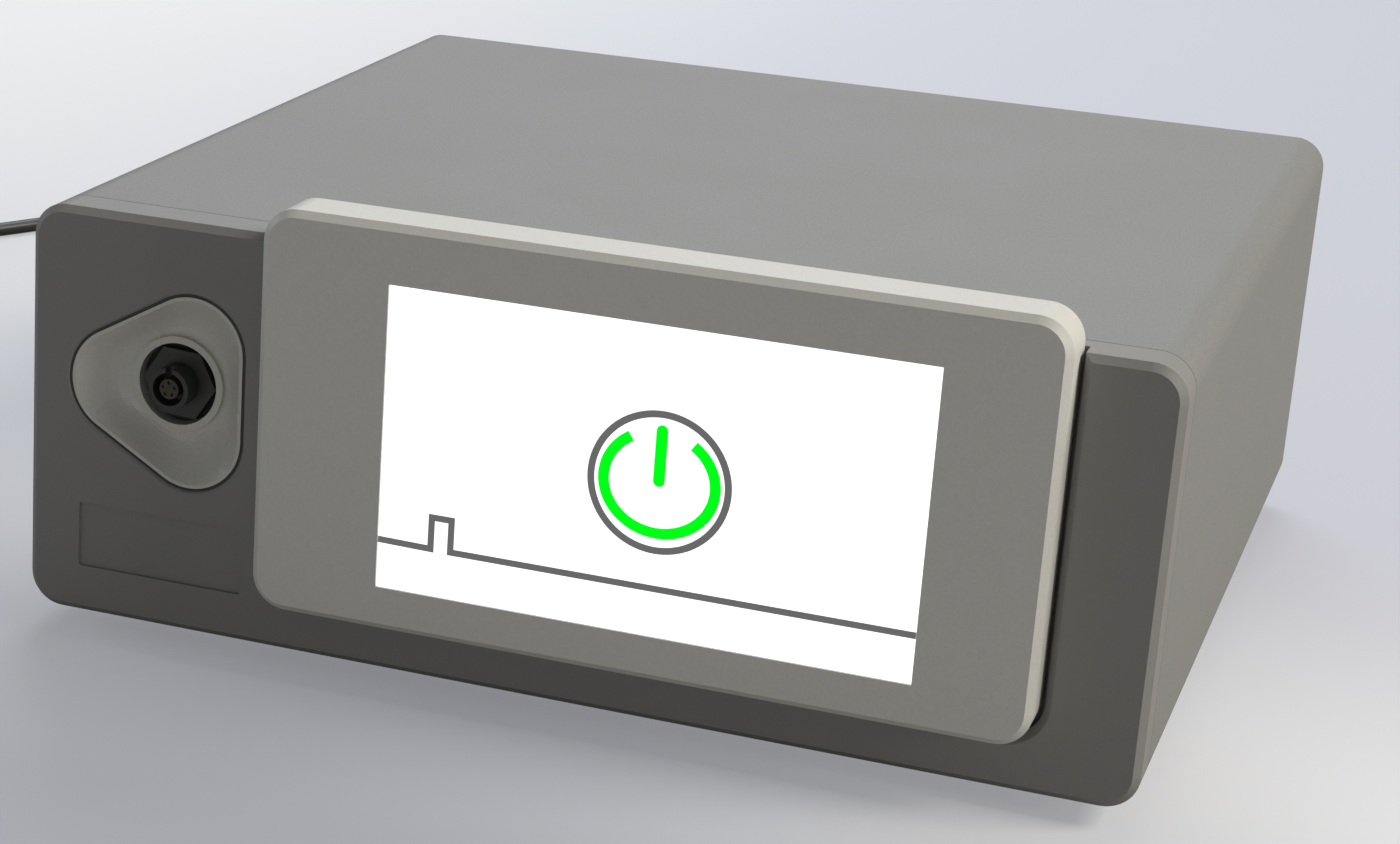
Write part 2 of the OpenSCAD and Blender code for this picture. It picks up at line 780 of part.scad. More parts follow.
module foot_places() {
    for (sx = [-1, 1], y = [front_y + foot_end, rear_y - foot_end])
        translate([sx * foot_x, y, 0]) children();
}

module front_panel() {
    hollow_w = case_w - 2 * panel_wall;
    hollow_h = case_h - 2 * panel_wall;
    color([0.30, 0.30, 0.29]) difference() {
        union() {
            difference() {
                at_depth(0) bevel_slab(case_w, case_h, case_r, rim_d, panel_bevel);
                at_depth(panel_wall) slab(hollow_w, hollow_h, case_r - panel_wall, rim_d);
            }
            panel_spigot(hollow_w, hollow_h);
            pocket_shell();
            at_depth(panel_wall / 2) at_corners(rod_x, rod_z)
                rod_y(rod_boss_r, rim_d - panel_wall / 2);
        }
        pocket_cut();
        connector_opening();
        label_recess();
        at_depth(rim_d - rod_stud_l) at_corners(rod_x, rod_z)
            rod_y(rod_stud_r + screw_slip, rod_stud_l + overrun);
    }
}

module panel_spigot(hollow_w, hollow_h) {
    w = inner_w - 2 * slip;
    h = inner_h - 2 * slip;
    difference() {
        at_depth(panel_wall) slab(w, h, inner_r - slip, rim_d - panel_wall + spigot_l);
        at_depth(panel_wall - overrun)
            slab(hollow_w, hollow_h, case_r - panel_wall, rim_d + spigot_l);
    }
}

module pocket_shell() {
    w = pod_w + 2 * (pocket_gap + pocket_wall);
    h = pod_h + 2 * (pocket_gap + pocket_wall);
    intersection() {
        at_depth(panel_wall / 2) slab(case_w, case_h, case_r, rim_d);
        at_pod(panel_wall / 2) slab(w, h, pod_r + pocket_gap + pocket_wall,
            pocket_deep + pocket_wall - panel_wall / 2);
    }
}

module pocket_cut() {
    w = pod_w + 2 * pocket_gap;
    h = pod_h + 2 * pocket_gap;
    at_pod(0) bevel_slab(w, h, pod_r + pocket_gap, pocket_deep, -pocket_bevel);
    at_pod(-overrun) slab(w + 2 * pocket_bevel, h + 2 * pocket_bevel,
        pod_r + pocket_gap + pocket_bevel, overrun);
    at_pod(pocket_deep - overrun) {
        at_corners(pod_w / 2 - mount_screw_side, pod_h / 2 - mount_screw_end)
            rod_y(small_screw[0] + screw_slip, pocket_wall + 2 * overrun);
        translate([0, 0, -ribbon_drop])
            slab(plug_in_w, ribbon_slot_h, ribbon_t, pocket_wall + 2 * overrun);
    }
}

module connector_opening() {
    at_cup(-overrun) {
        along_y(panel_wall + 2 * overrun) tri(cup_side, cup_hole_corner);
        tri_flare(cup_side, cup_corner + overrun, cup_hole_corner - overrun,
            cup_rim_bevel + 2 * overrun);
    }
    ear_places(panel_wall - small_screw[3]) rod_y(small_screw[0] - screw_slip, rim_d);
}

module label_recess() {
    translate([cup_right - label_w / 2, front_y - overrun, foot_h + label_lift + label_h / 2])
        slab(label_w, label_h, label_deep, label_deep + overrun);
}

module rear_panel() {
    color([0.42, 0.42, 0.41]) difference() {
        at_depth(case_d - rear_t)
            slab(inner_w - 2 * slip, inner_h - 2 * slip, inner_r - slip, rear_t);
        translate([0, rear_y - rear_t - overrun, 0]) rear_cuts(rear_t + 2 * overrun);
    }
}

module rear_cuts(t) {
    translate([0, 0, mid_z]) at_corners(rod_x, rod_z) rod_y(big_screw[0] + screw_slip, t);
    translate([fan_x, 0, fan_z]) {
        grille(t);
        at_corners(fan_hole_at, fan_hole_at) rod_y(fan_screw[0] + screw_slip, t);
    }
    translate([switch_x, 0, switch_z])
        slab(switch_body[0] + 2 * slip, switch_body[1] + 2 * slip, slip, t);
    translate([fuse_x, 0, fuse_z]) rod_y(holder_r + slip, t);
    translate([gland_x, 0, gland_z]) rod_y(gland_hole_r, t);
}

// Air holes in rings of six, twelve, eighteen and so on, round a middle one
module grille(t) {
    for (i = [-grille_rings:grille_rings], j = [-grille_rings:grille_rings])
        if (abs(i + j) <= grille_rings)
            translate([(i + j / 2) * grille_pitch, 0, j * grille_pitch * sqrt(3) / 2])
                rod_y(grille_hole_r, t);
}

module base_tray() {
    side = case_r + overrun;
    front = rim_d + spigot_l + overrun;
    length = case_d - front - rear_t - overrun;
    color([0.72, 0.73, 0.74]) difference() {
        union() {
            translate([-case_w / 2 + side, front_y + front, floor_z])
                cube([case_w - 2 * side, length, tray_t]);
            foot_places() translate([0, 0, floor_z]) cylinder(r = foot_nut_r, h = foot_nut_h);
        }
        floor_vents();
        foot_places() translate([0, 0, foot_h])
            cylinder(r = foot_screw[0] + screw_slip, h = foot_h + foot_nut_h);
        translate([toroid_at[0], toroid_at[1], foot_h])
            cylinder(r = bolt_r + screw_slip, h = foot_h);
    }
}

module tie_rods() {
    length = case_d - rear_t - rim_d;
    color([0.75, 0.75, 0.76]) difference() {
        at_depth(rim_d) at_corners(rod_x, rod_z) {
            rod_y(rod_r, length);
            translate([0, overrun - rod_stud_l, 0]) rod_y(rod_stud_r, rod_stud_l);
        }
        at_depth(case_d - rear_t - rod_tap_l) at_corners(rod_x, rod_z)
            rod_y(big_screw[0] + screw_slip, rod_tap_l + overrun);
    }
}

module rear_screws() {
    color([0.25, 0.25, 0.26]) at_depth(case_d) at_corners(rod_x, rod_z)
        rotate([-90, 0, 0]) screw(big_screw);
}

module feet() {
    color([0.12, 0.12, 0.12]) foot_places() difference() {
        cylinder(r = foot_dia / 2, h = foot_h);
        translate([0, 0, -overrun]) {
            cylinder(r = foot_bore_r, h = foot_bore_h + overrun);
            cylinder(r = foot_screw[0] + screw_slip, h = foot_h + 2 * overrun);
        }
    }
}

module foot_screws() {
    color([0.70, 0.70, 0.72]) foot_places() translate([0, 0, foot_bore_h])
        rotate([180, 0, 0]) screw(foot_screw);
}

// The output connector
module ear_places(d) {
    for (k = [0:2]) at_cup(d)
        translate([ear_reach * cos(corner_angle(k)), 0, ear_reach * sin(corner_angle(k))])
            children();
}

module connector_cup() {
    color([0.48, 0.47, 0.45]) difference() {
        union() {
            difference() {
                at_cup(cup_lip_deep)
                    along_y(cup_back - cup_lip_deep) tri(cup_side, cup_body_corner);
                at_cup(0) dish();
            }
            at_cup(panel_wall)
                along_y(cup_flange_t) difference() {
                    tri(cup_side, cup_body_corner + cup_flange_w);
                    tri(cup_side, cup_body_corner - cup_lip_w / 2);
                }
            ear_places(panel_wall) rod_y(ear_r, cup_flange_t);
            at_cup(ring_top) rod_y(ring_r, cup_back - ring_top);
            at_cup(cup_back - cup_lip_w) rod_y(boss_r, boss_back - cup_back + cup_lip_w);
        }
        at_cup(0) rod_y(well_r, well_floor);
        at_cup(0) rod_y(shank_r + slip, boss_back + overrun);
        ear_places(0) rod_y(small_screw[0] + screw_slip, boss_back);
    }
}

module cup_screws() {
    color([0.70, 0.70, 0.72]) ear_places(panel_wall + cup_flange_t) rotate([-90, 0, 0])
        screw([small_screw[0] - 2 * screw_slip, cup_flange_t + small_screw[3] - screw_slip,
            small_screw[2], small_screw[3]]);
}

module socket_body() {
    color([0.14, 0.14, 0.14]) difference() {
        union() {
            at_cup(barrel_top) rod_y(barrel_r, hex_top);
            at_cup(hex_top) rotate([0, hex_turn, 0]) nut_y(hex_af, hex_t);
            at_cup(hex_top) rod_y(shank_r, shank_back - hex_top);
        }
        at_cup(0) rod_y(barrel_bore_r, bore_floor);
        at_cup(0) rod_y(insert_shank_r + run_slip, shank_back + overrun);
        at_cup(0) translate([-key_w / 2, 0, 0]) cube([key_w, barrel_top + key_l, barrel_r + overrun]);
    }
}

module contact_places(d) {
    for (i = [0:contact_n - 1]) at_cup(d)
        rotate([0, 54 + 360 * i / contact_n, 0]) translate([contact_ring_r, 0, 0]) children();
}

module socket_insert() {
    color([0.72, 0.62, 0.45]) difference() {
        union() {
            at_cup(insert_top) rod_y(insert_r, bore_floor - insert_top + overrun);
            at_cup(bore_floor) rod_y(insert_shank_r, insert_back - bore_floor);
        }
        contact_places(0) rod_y(contact_r + run_slip, insert_back + overrun);
    }
}

module socket_contacts() {
    color([0.85, 0.70, 0.35]) contact_places(contact_top)
        rod_y(contact_r, contact_back - contact_top);
}

module socket_seal() {
    color([0.10, 0.10, 0.10]) at_cup(hex_top + hex_t) difference() {
        rod_y(well_r - slip, seal_t);
        translate([0, -overrun, 0]) rod_y(shank_r + screw_slip, seal_t + 2 * overrun);
    }
}

module socket_locknut() {
    color([0.70, 0.70, 0.70]) at_cup(boss_back) difference() {
        nut_y(nut_af, nut_t);
        translate([0, -overrun, 0]) rod_y(shank_r + run_slip, nut_t + 2 * overrun);
    }
}

module output_harness() {
    start = [cup_x, front_y + shank_back + boot_l, cup_z];
    color([0.30, 0.30, 0.32]) {
        at_cup(shank_back) rod_y(boot_r, boot_l);
        wire(start, [0, 1, 0], [output_end[0], output_end[1], board_top + header_h + wire_gap],
            [0, 0, 1], output_r, output_reach, [1, 0, 0]);
    }
}

// The display pod
module pod_bezel() {
    inside = pod_r - pod_wall;
    color([0.62, 0.62, 0.60]) difference() {
        union() {
            difference() {
                at_pod(-pod_proud) bevel_slab(pod_w, pod_h, pod_r, pod_proud + pod_sunk, pod_bevel);
                at_pod(-pod_proud + pod_face)
                    slab(pod_w - 2 * pod_wall, pod_h - 2 * pod_wall, inside, 2 * pod_proud);
            }
            at_pod(-pod_proud + pod_face) at_corners(pod_w / 2 - cover_screw_inset,
                pod_h / 2 - cover_screw_inset)
                rod_y(cover_boss_r, pod_proud - pod_face + pod_sunk - pod_back_t);
            at_screen(-pod_proud + pod_face) at_corners(bracket_post_x, bracket_post_z)
                rod_y(post_r, lcd_t);
        }
        at_screen(-pod_proud - overrun)
            slab(screen_w, screen_h, glass_slip, screen_sunk + glass_t + overrun);
        at_screen(-pod_proud) slab(screen_w - 2 * ledge_w, screen_h - 2 * ledge_w,
            ledge_w / 2, 2 * pod_face);
        at_pod(0) at_corners(pod_w / 2 - cover_screw_inset, pod_h / 2 - cover_screw_inset)
            rod_y(small_screw[0], pod_sunk);
        at_screen(lcd_back - tiny_screw[1]) at_corners(bracket_post_x, bracket_post_z)
            rod_y(tiny_screw[0] + screw_slip, tiny_screw[1] + overrun);
        side_slot(pod_w / 2 - slot_in);
    }
}

module side_slot(x) {
    at_pod(pod_sunk - slot_deep) translate([x, 0, slot_dz - slot_h / 2])
        cube([slot_in + overrun, slot_deep + overrun, slot_h]);
}

module touch_glass() {
    color([0.93, 0.94, 0.95]) at_screen(-pod_proud + screen_sunk)
        slab(screen_w - 2 * glass_slip, screen_h - 2 * glass_slip, glass_slip, glass_t);
}

module lcd_panel() {
    color([0.65, 0.66, 0.68]) at_screen(-pod_proud + pod_face) slab(lcd_w, lcd_h, ledge_w, lcd_t);
}

module lcd_bracket() {
    color([0.78, 0.78, 0.78]) at_screen(lcd_back) difference() {
        union() {
            slab(bracket_w, bracket_h, ledge_w, bracket_t);
            at_corners(stud_x, stud_z) rod_y(post_r, bracket_t + stud_h);
        }
        translate([0, -overrun, 0]) {
            slab(stud_x, stud_z, ledge_w, 2 * overrun + bracket_t);
            at_corners(bracket_post_x, bracket_post_z)
                rod_y(tiny_screw[0] + screw_slip, bracket_t + 2 * overrun);
            at_corners(stud_x, stud_z) rod_y(tiny_screw[0] + screw_slip, 2 * pod_proud);
        }
    }
}

module display_board() {
    color([0.10, 0.38, 0.22]) difference() {
        union() {
            at_screen(pcb_d) slab(pcb_w, pcb_h, ledge_w, board_t);
            at_pod(pcb_d + board_t) translate([0, 0, -ribbon_drop])
                slab(plug_in_w, plug_in_t, ribbon_t, pcb_part_t);
            at_screen(pcb_d + board_t) for (x = [-1, 1])
                translate([x * pcb_w / 4, 0, pcb_h / 8]) slab(pcb_h / 4, pcb_h / 4, ribbon_t, board_t);
        }
        at_screen(pcb_d - overrun) at_corners(stud_x, stud_z)
            rod_y(tiny_screw[0] + screw_slip, board_t + 2 * overrun);
    }
}

module display_screws() {
    color([0.70, 0.70, 0.72]) {
        at_screen(lcd_back + bracket_t) at_corners(bracket_post_x, bracket_post_z)
            rotate([-90, 0, 0]) screw(tiny_screw);
        at_screen(pcb_d + board_t) at_corners(stud_x, stud_z) rotate([-90, 0, 0]) screw(tiny_screw);
    }
}

module pod_back() {
    inside = pod_r - pod_wall - slip;
    w = pod_w - 2 * (pod_wall + slip);
    h = pod_h - 2 * (pod_wall + slip);
    color([0.30, 0.30, 0.30]) difference() {
        union() {
            at_pod(pod_sunk - pod_back_t) slab(w, h, inside, pod_back_t);
            at_pod(pod_sunk - pod_back_t - mount_boss_h)
                at_corners(pod_w / 2 - mount_screw_side, pod_h / 2 - mount_screw_end)
                rod_y(mount_boss_r, mount_boss_h + pod_back_t);
        }
        at_pod(0) {
            at_corners(pod_w / 2 - cover_screw_inset, pod_h / 2 - cover_screw_inset)
                rod_y(small_screw[0] + screw_slip, 2 * pod_sunk);
            translate([0, pod_sunk - small_screw[3], 0])
                at_corners(pod_w / 2 - cover_screw_inset, pod_h / 2 - cover_screw_inset)
                rod_y(small_screw[2] + screw_slip, pod_sunk);
            at_corners(pod_w / 2 - mount_screw_side, pod_h / 2 - mount_screw_end)
                rod_y(small_screw[0] + screw_slip, 2 * pod_sunk);
            translate([0, 0, -ribbon_drop]) slab(plug_in_w, ribbon_slot_h, ribbon_t, 2 * pod_sunk);
        }
        side_slot(pod_w / 2 - pod_wall - slip - slot_in);
    }
}

module pod_screws() {
    color([0.70, 0.70, 0.72]) at_pod(pod_sunk - small_screw[3])
        at_corners(pod_w / 2 - cover_screw_inset, pod_h / 2 - cover_screw_inset)
        rotate([-90, 0, 0]) screw([small_screw[0] - screw_slip, small_screw[1] - overrun,
            small_screw[2], small_screw[3]]);
}

module pod_gasket() {
    edge = mount_screw_side;
    color([0.08, 0.08, 0.08]) difference() {
        at_pod(pod_sunk) slab(pod_w - 2 * cover_screw_inset, pod_h - 2 * cover_screw_inset,
            pod_r - pod_wall, gasket_t);
        at_pod(pod_sunk - overrun) {
            at_corners(pod_w / 2 - mount_screw_side, pod_h / 2 - mount_screw_end)
                rod_y(small_screw[0] + screw_slip, gasket_t + 2 * overrun);
            translate([0, 0, -ribbon_drop])
                slab(plug_in_w, ribbon_slot_h, ribbon_t, gasket_t + 2 * overrun);
            translate([0, 0, edge / 4]) slab(pod_w - 4 * edge, pod_h - 3 * edge, pod_wall,
                gasket_t + 2 * overrun);
        }
    }
}

module pod_mount_screws() {
    color([0.70, 0.70, 0.72]) at_pod(pocket_deep + pocket_wall)
        at_corners(pod_w / 2 - mount_screw_side, pod_h / 2 - mount_screw_end)
        rotate([-90, 0, 0]) screw(small_screw);
}

module display_ribbon() {
    start = front_y + pcb_d + board_t + pcb_part_t;
    bottom = board_top + plug_in_h;
    outer = ribbon_bend + ribbon_t / 2;
    color([0.80, 0.82, 0.84]) translate([pod_x, 0, 0]) along_x(ribbon_w) {
        translate([start, ribbon_z - ribbon_t / 2]) square([ribbon_y - ribbon_bend - start, ribbon_t]);
        translate([ribbon_y - ribbon_t / 2, bottom]) square([ribbon_t, ribbon_z - ribbon_bend - bottom]);
        translate([ribbon_y - ribbon_bend, ribbon_z - ribbon_bend]) intersection() {
            difference() {
                circle(outer);
                circle(outer - ribbon_t);
            }
            square(outer);
        }
    }
}

// Boards and what they carry
module board(b) {
    difference() {
        translate([b[0] - b[2] / 2, b[1] - b[3] / 2, board_z]) cube([b[2], b[3], board_t]);
        at_board_corners(b) translate([0, 0, board_z - overrun])
            cylinder(r = small_screw[0] + screw_slip, h = board_t + 2 * overrun);
    }
}

module board_parts(b, shares) {
    for (s = shares) translate([b[0] + (s[0] - 0.5) * b[2] - s[2] * b[2] / 2,
        b[1] + (s[1] - 0.5) * b[3] - s[3] * b[3] / 2, board_top])
        cube([s[2] * b[2], s[3] * b[3], s[4] * part_h]);
}

module main_board() {
    color([0.10, 0.38, 0.22]) board(main_at);
}

module main_board_parts() {
    color([0.13, 0.13, 0.14]) {
        board_parts(main_at, main_part_shares);
        translate([pod_x - plug_in_w / 2, ribbon_y - plug_in_t / 2, board_top])
            cube([plug_in_w, plug_in_t, plug_in_h]);
    }
}

module pulse_board() {
    color([0.10, 0.38, 0.22]) board(pulse_at);
}

module capacitor_bank() {
    row_y = pulse_at[1] - pulse_d / 2 + 2 * header_d + cap_r;
    color([0.16, 0.20, 0.30]) for (i = [0:cap_cols - 1])
        translate([pulse_at[0] + pulse_w / 2 - cap_side - cap_r - i * (2 * cap_r + cap_gap),
            row_y, board_top]) {
            cylinder(r = cap_r, h = cap_h);
            cylinder(r = cap_r - cap_gap, h = cap_h + cap_lift);
        }
}

module heat_sink() {
    pitch = (sink_w - sink_fin_t) / (sink_fin_n - 1);
    color([0.72, 0.73, 0.75]) translate([sink_at[0], sink_at[1] - sink_l / 2, board_top]) {
        translate([-sink_w / 2, 0, 0]) cube([sink_w, sink_l, sink_base]);
        for (i = [0:sink_fin_n - 1]) translate([-sink_w / 2 + i * pitch, 0, 0])
            cube([sink_fin_t, sink_l, sink_h]);
    }
}

module power_transistors() {
    color([0.12, 0.12, 0.13]) for (i = [0:transistor_n - 1])
        translate([sink_at[0] + sink_w / 2, sink_at[1] + (i - 1) * sink_l / transistor_n, board_top])
        translate([0, -transistor[1] / 2, 0]) {
            translate([0, 0, transistor_leg]) cube(transistor);
            translate([transistor[0] / 4, transistor[1] / 4, 0])
                cube([board_t / 2, transistor[1] / 2, transistor_leg + overrun]);
        }
}

module output_relays() {
    color([0.20, 0.30, 0.55]) for (i = [0:relay_n - 1])
        translate([pulse_at[0] - pulse_w / 2 + relay_gap,
            pulse_back - 2 * board_screw_inset - (i + 1) * (relay[1] + relay_gap), board_top])
            cube(relay);
}

module pulse_board_headers() {
    color([0.90, 0.89, 0.84]) for (p = [output_end, fan_lead_end])
        translate([p[0] - header_w / 2, p[1] - header_d / 2, board_top])
            cube([header_w, header_d, header_h]);
}

module supply_board() {
    color([0.10, 0.38, 0.22]) board(supply_at);
}

module supply_board_parts() {
    color([0.55, 0.45, 0.20]) board_parts(supply_at, supply_part_shares);
}

module board_standoffs() {
    color([0.80, 0.70, 0.40]) for (b = boards) at_board_corners(b)
        translate([0, 0, tray_z]) difference() {
            cylinder(r = standoff_r, h = standoff_h);
            translate([0, 0, overrun]) cylinder(r = small_screw[0] + screw_slip, h = standoff_h);
        }
}

module board_screws() {
    color([0.70, 0.70, 0.72]) for (b = boards) at_board_corners(b)
        translate([0, 0, board_top]) screw(small_screw);
}

module mains_transformer() {
    color([0.85, 0.80, 0.55]) translate([toroid_at[0], toroid_at[1], tray_z + pad_t])
        rotate_extrude() translate([(toroid_r + toroid_hole_r) / 2, toroid_h / 2])
            rounded(toroid_r - toroid_hole_r, toroid_h, toroid_round);
}

module transformer_clamp() {
    top = pad_t + toroid_h;
    color([0.70, 0.70, 0.72]) translate([toroid_at[0], toroid_at[1], tray_z]) {
        difference() {
            cylinder(r = toroid_r - toroid_round, h = pad_t);
            translate([0, 0, -overrun]) cylinder(r = bolt_r + slip, h = pad_t + 2 * overrun);
        }
        translate([0, 0, top]) cylinder(r = washer_r, h = washer_t);
        translate([0, 0, top + washer_t]) cylinder(r = bolt_nut_af / sqrt(3), h = bolt_nut_h, $fn = 6);
        translate([0, 0, -tray_t]) cylinder(r = bolt_r, h = top + tray_t + washer_t);
    }
}

module mains_harness() {
    back = rear_y + switch_flange[2] - switch_body[2] - terminal[1] - wire_gap;
    lead_in = [gland_x, rear_y - rear_t - gland_in - wire_gap, gland_z];
    fuse_pin = rear_y - holder_l - holder_pin_l - wire_gap;
    supply_top = board_top + part_h + wire_gap;
    color([0.55, 0.30, 0.18]) {
        wire(lead_in, [0, -1, 0], [switch_x, back, switch_z - terminal_z], [0, -1, 0],
            wire_r, wire_reach, [1, 0, 0]);
        wire([switch_x, back, switch_z + terminal_z], [0, -1, 0], [fuse_x, fuse_pin, fuse_z],
            [0, -1, 0], wire_r, wire_reach, [1, 0, 0]);
        wire([fan_x - fan_lead_side, fan_y + fan_t / 2, fan_z - fan_size / 2 - wire_gap],
            [0, 0, -1], [fan_lead_end[0], fan_lead_end[1], board_top + header_h + wire_gap],
            [0, 0, 1], wire_r, header_h, [1, 0, 0]);
    }
}

// Fan
module fan_frame() {
    color([0.13, 0.13, 0.13]) translate([fan_x, fan_y, fan_z]) difference() {
        union() {
            difference() {
                slab(fan_size, fan_size, fan_corner_r, fan_t);
                translate([0, -overrun, 0]) rod_y(fan_bore_r, fan_t + 2 * overrun);
            }
            rod_y(hub_mount_r, hub_mount_t);
            for (a = [0:90:270]) rotate([0, 45 + a, 0]) translate([0, 0, -strut_w / 2])
                cube([fan_bore_r + fan_wall, hub_mount_t, strut_w]);
            rod_y(shaft_r, hub_mount_t + shaft_l);
        }
        translate([0, -overrun, 0]) at_corners(fan_hole_at, fan_hole_at)
            rod_y(fan_screw[0] + screw_slip, fan_t + 2 * overrun);
    }
}

module fan_rotor() {
    start = hub_mount_t + hub_gap;
    color([0.16, 0.16, 0.17]) translate([fan_x, fan_y + start, fan_z]) difference() {
        union() {
            rod_y(hub_r, hub_t);
            intersection() {
                for (i = [0:blade_n - 1]) rotate([0, 360 * i / blade_n, 0])
                    translate([fan_bore_r / 2, hub_t / 2, 0]) rotate([blade_angle, 0, 0])
                        cube([fan_bore_r, blade_chord, blade_t], center = true);
                difference() {
                    rod_y(fan_bore_r - blade_gap, hub_t);
                    translate([0, -overrun, 0]) rod_y(hub_r - overrun, hub_t + 2 * overrun);
                }
            }
        }
        translate([0, -overrun, 0]) rod_y(shaft_r + run_slip, shaft_l + overrun);
    }
}

module fan_screws() {
    color([0.25, 0.25, 0.26]) translate([fan_x, rear_y, fan_z])
        at_corners(fan_hole_at, fan_hole_at) rotate([-90, 0, 0]) screw(fan_screw);
}

// Power switch
module switch_frame() {
    color([0.10, 0.10, 0.10]) translate([switch_x, rear_y, switch_z]) difference() {
        union() {
            slab(switch_flange[0], switch_flange[1], slip, switch_flange[2]);
            translate([0, switch_flange[2] - switch_body[2], 0])
                slab(switch_body[0], switch_body[1], slip, switch_body[2]);
            for (s = [-1, 1]) translate([-terminal[0] / 2,
                switch_flange[2] - switch_body[2] - terminal[1], s * terminal_z - terminal[2] / 2])
                cube([terminal[0], terminal[1] + overrun, terminal[2]]);
        }
        translate([0, switch_flange[2] - switch_well[2], 0])
            slab(switch_well[0], switch_well[1], slip, switch_well[2] + overrun);
        translate([-switch_well[0] / 2 - pivot_l - slip, -rocker_in, 0]) rotate([0, 90, 0])
            cylinder(r = pivot_r + run_slip, h = switch_well[0] + 2 * (pivot_l + slip));
    }
}

module switch_rocker() {
    color([0.85, 0.12, 0.10]) translate([switch_x, rocker_y, switch_z])
        rotate([-rocker_tilt, 0, 0]) {
            intersection() {
                rotate([0, 90, 0]) cylinder(r = rocker_r, h = rocker_w, center = true);
                along_x(rocker_w) polygon([[rocker_crown, 0], [rocker_edge, rocker_r],
                    [-rocker_back, rocker_r], [-rocker_back, -rocker_r], [rocker_edge, -rocker_r]]);
            }
            rotate([0, 90, 0]) cylinder(r = pivot_r, h = switch_well[0] + 2 * pivot_l, center = true);
        }
}

// Fuse holder
module fuse_holder() {
    floor_y = -holder_l + holder_end;
    color([0.10, 0.10, 0.10]) translate([fuse_x, rear_y, fuse_z]) {
        difference() {
            union() {
                rod_y(holder_flange_r, holder_flange_t);
                translate([0, -holder_l, 0]) rod_y(holder_r, holder_l + overrun);
            }
            translate([0, floor_y, 0]) rod_y(holder_bore_r, holder_l + 2 * overrun);
        }
        translate([0, -holder_l - holder_pin_l, 0])
            rod_y(holder_pin_r, holder_pin_l + holder_end / 2);
        translate([0, floor_y - holder_end / 2, 0]) rod_y(holder_post_r,
            fuse_front_y - fuse_l - post_gap - rear_y - floor_y + holder_end / 2);
    }
}

module fuse_nut() {
    color([0.15, 0.15, 0.15]) translate([fuse_x, rear_y - rear_t - fuse_nut_t, fuse_z]) difference() {
        nut_y(fuse_nut_af, fuse_nut_t);
        translate([0, -overrun, 0]) rod_y(holder_r + run_slip, fuse_nut_t + 2 * overrun);
    }
}

module fuse_cap() {
    knob_y = holder_flange_t + screw_slip;
    color([0.12, 0.12, 0.12]) translate([fuse_x, rear_y, fuse_z]) difference() {
        union() {
            translate([0, knob_y, 0]) rod_y(knob_r, fuse_proud - knob_y);
            translate([0, knob_y - cap_plug_l, 0]) rod_y(holder_bore_r - screw_slip, cap_plug_l + overrun);
        }
        translate([-knob_slot_l / 2, fuse_proud - knob_slot_deep, -knob_slot_w / 2])
            cube([knob_slot_l, knob_slot_deep + overrun, knob_slot_w]);
        translate([0, knob_y - cap_plug_l - overrun, 0])
            rod_y(fuse_r + run_slip, cap_plug_l + overrun - cap_seat - screw_slip);
    }
}

module fuse_link() {
    color([0.80, 0.82, 0.84]) translate([fuse_x, fuse_front_y - fuse_l, fuse_z]) {
        rod_y(fuse_r, fuse_end_l);
        rod_y(fuse_glass_r, fuse_l);
        translate([0, fuse_l - fuse_end_l, 0]) rod_y(fuse_r, fuse_end_l);
    }
}

// Mains lead
module strain_relief() {
    color([0.08, 0.08, 0.08]) translate([gland_x, rear_y, gland_z]) difference() {
        union() {
            translate([0, -rear_t - gland_in, 0])
                rod_y(gland_hole_r - screw_slip, rear_t + gland_in + overrun);
            rod_y(gland_flange_r, gland_flange_t);
            translate([0, gland_flange_t, 0]) rotate([-90, 0, 0])
                cylinder(r1 = relief_r[0], r2 = relief_r[1], h = relief_l);
        }
        for (i = [0:relief_groove_n - 1])
            translate([0, gland_flange_t + (i + 1) * relief_pitch, 0]) difference() {
                rod_y(gland_flange_r, relief_groove_w);
                translate([0, -overrun, 0]) rod_y(relief_r[0] - relief_groove_deep
                    - (i + 1) * relief_pitch * (relief_r[0] - relief_r[1]) / relief_l,
                    relief_groove_w + 2 * overrun);
            }
    }
}

module gland_nut() {
    color([0.10, 0.10, 0.10]) translate([gland_x, rear_y - rear_t - gland_nut_t, gland_z]) difference() {
        nut_y(gland_nut_af, gland_nut_t);
        translate([0, -overrun, 0]) rod_y(gland_hole_r - run_slip, gland_nut_t + 2 * overrun);
    }
}

module cord_run() {
    dirs = directions(lead_route, [0, 1, 0], heading);
    color([0.14, 0.14, 0.14]) tube(lead_route, dirs, level_sides(dirs), lead_r, lead_sides);
}

module cord_coil() {
    dirs = directions(coil_path, heading, heading);
    echo(coil_least_gap = coil_gap());
    color([0.14, 0.14, 0.14]) tube(coil_path, dirs, level_sides(dirs), lead_r, coil_sides);
}

module coil_tie() {
    in_w = coil_out_r - coil_in_r + coil_dip + lead_d + 2 * tie_gap;
    in_h = coil_pitch + lead_d + 2 * tie_gap;
    middle = (coil_out_r + coil_in_r - coil_dip) / 2;
    color([0.10, 0.10, 0.11])
        translate([coil_centre[0], coil_centre[1], (coil_z[0] + coil_z[1]) / 2])
        rotate([0, 0, coil_angle + tie_turn]) translate([middle, -tie_w / 2, 0]) difference() {
            slab(in_w + 2 * tie_t, in_h + 2 * tie_t, 2 * tie_t, tie_w);
            translate([0, -overrun, 0]) slab(in_w, in_h, tie_t, tie_w + 2 * overrun);
        }
}

module at_plug() {
    translate(tail_end) rotate([0, 0, heading_angle - 90]) children();
}

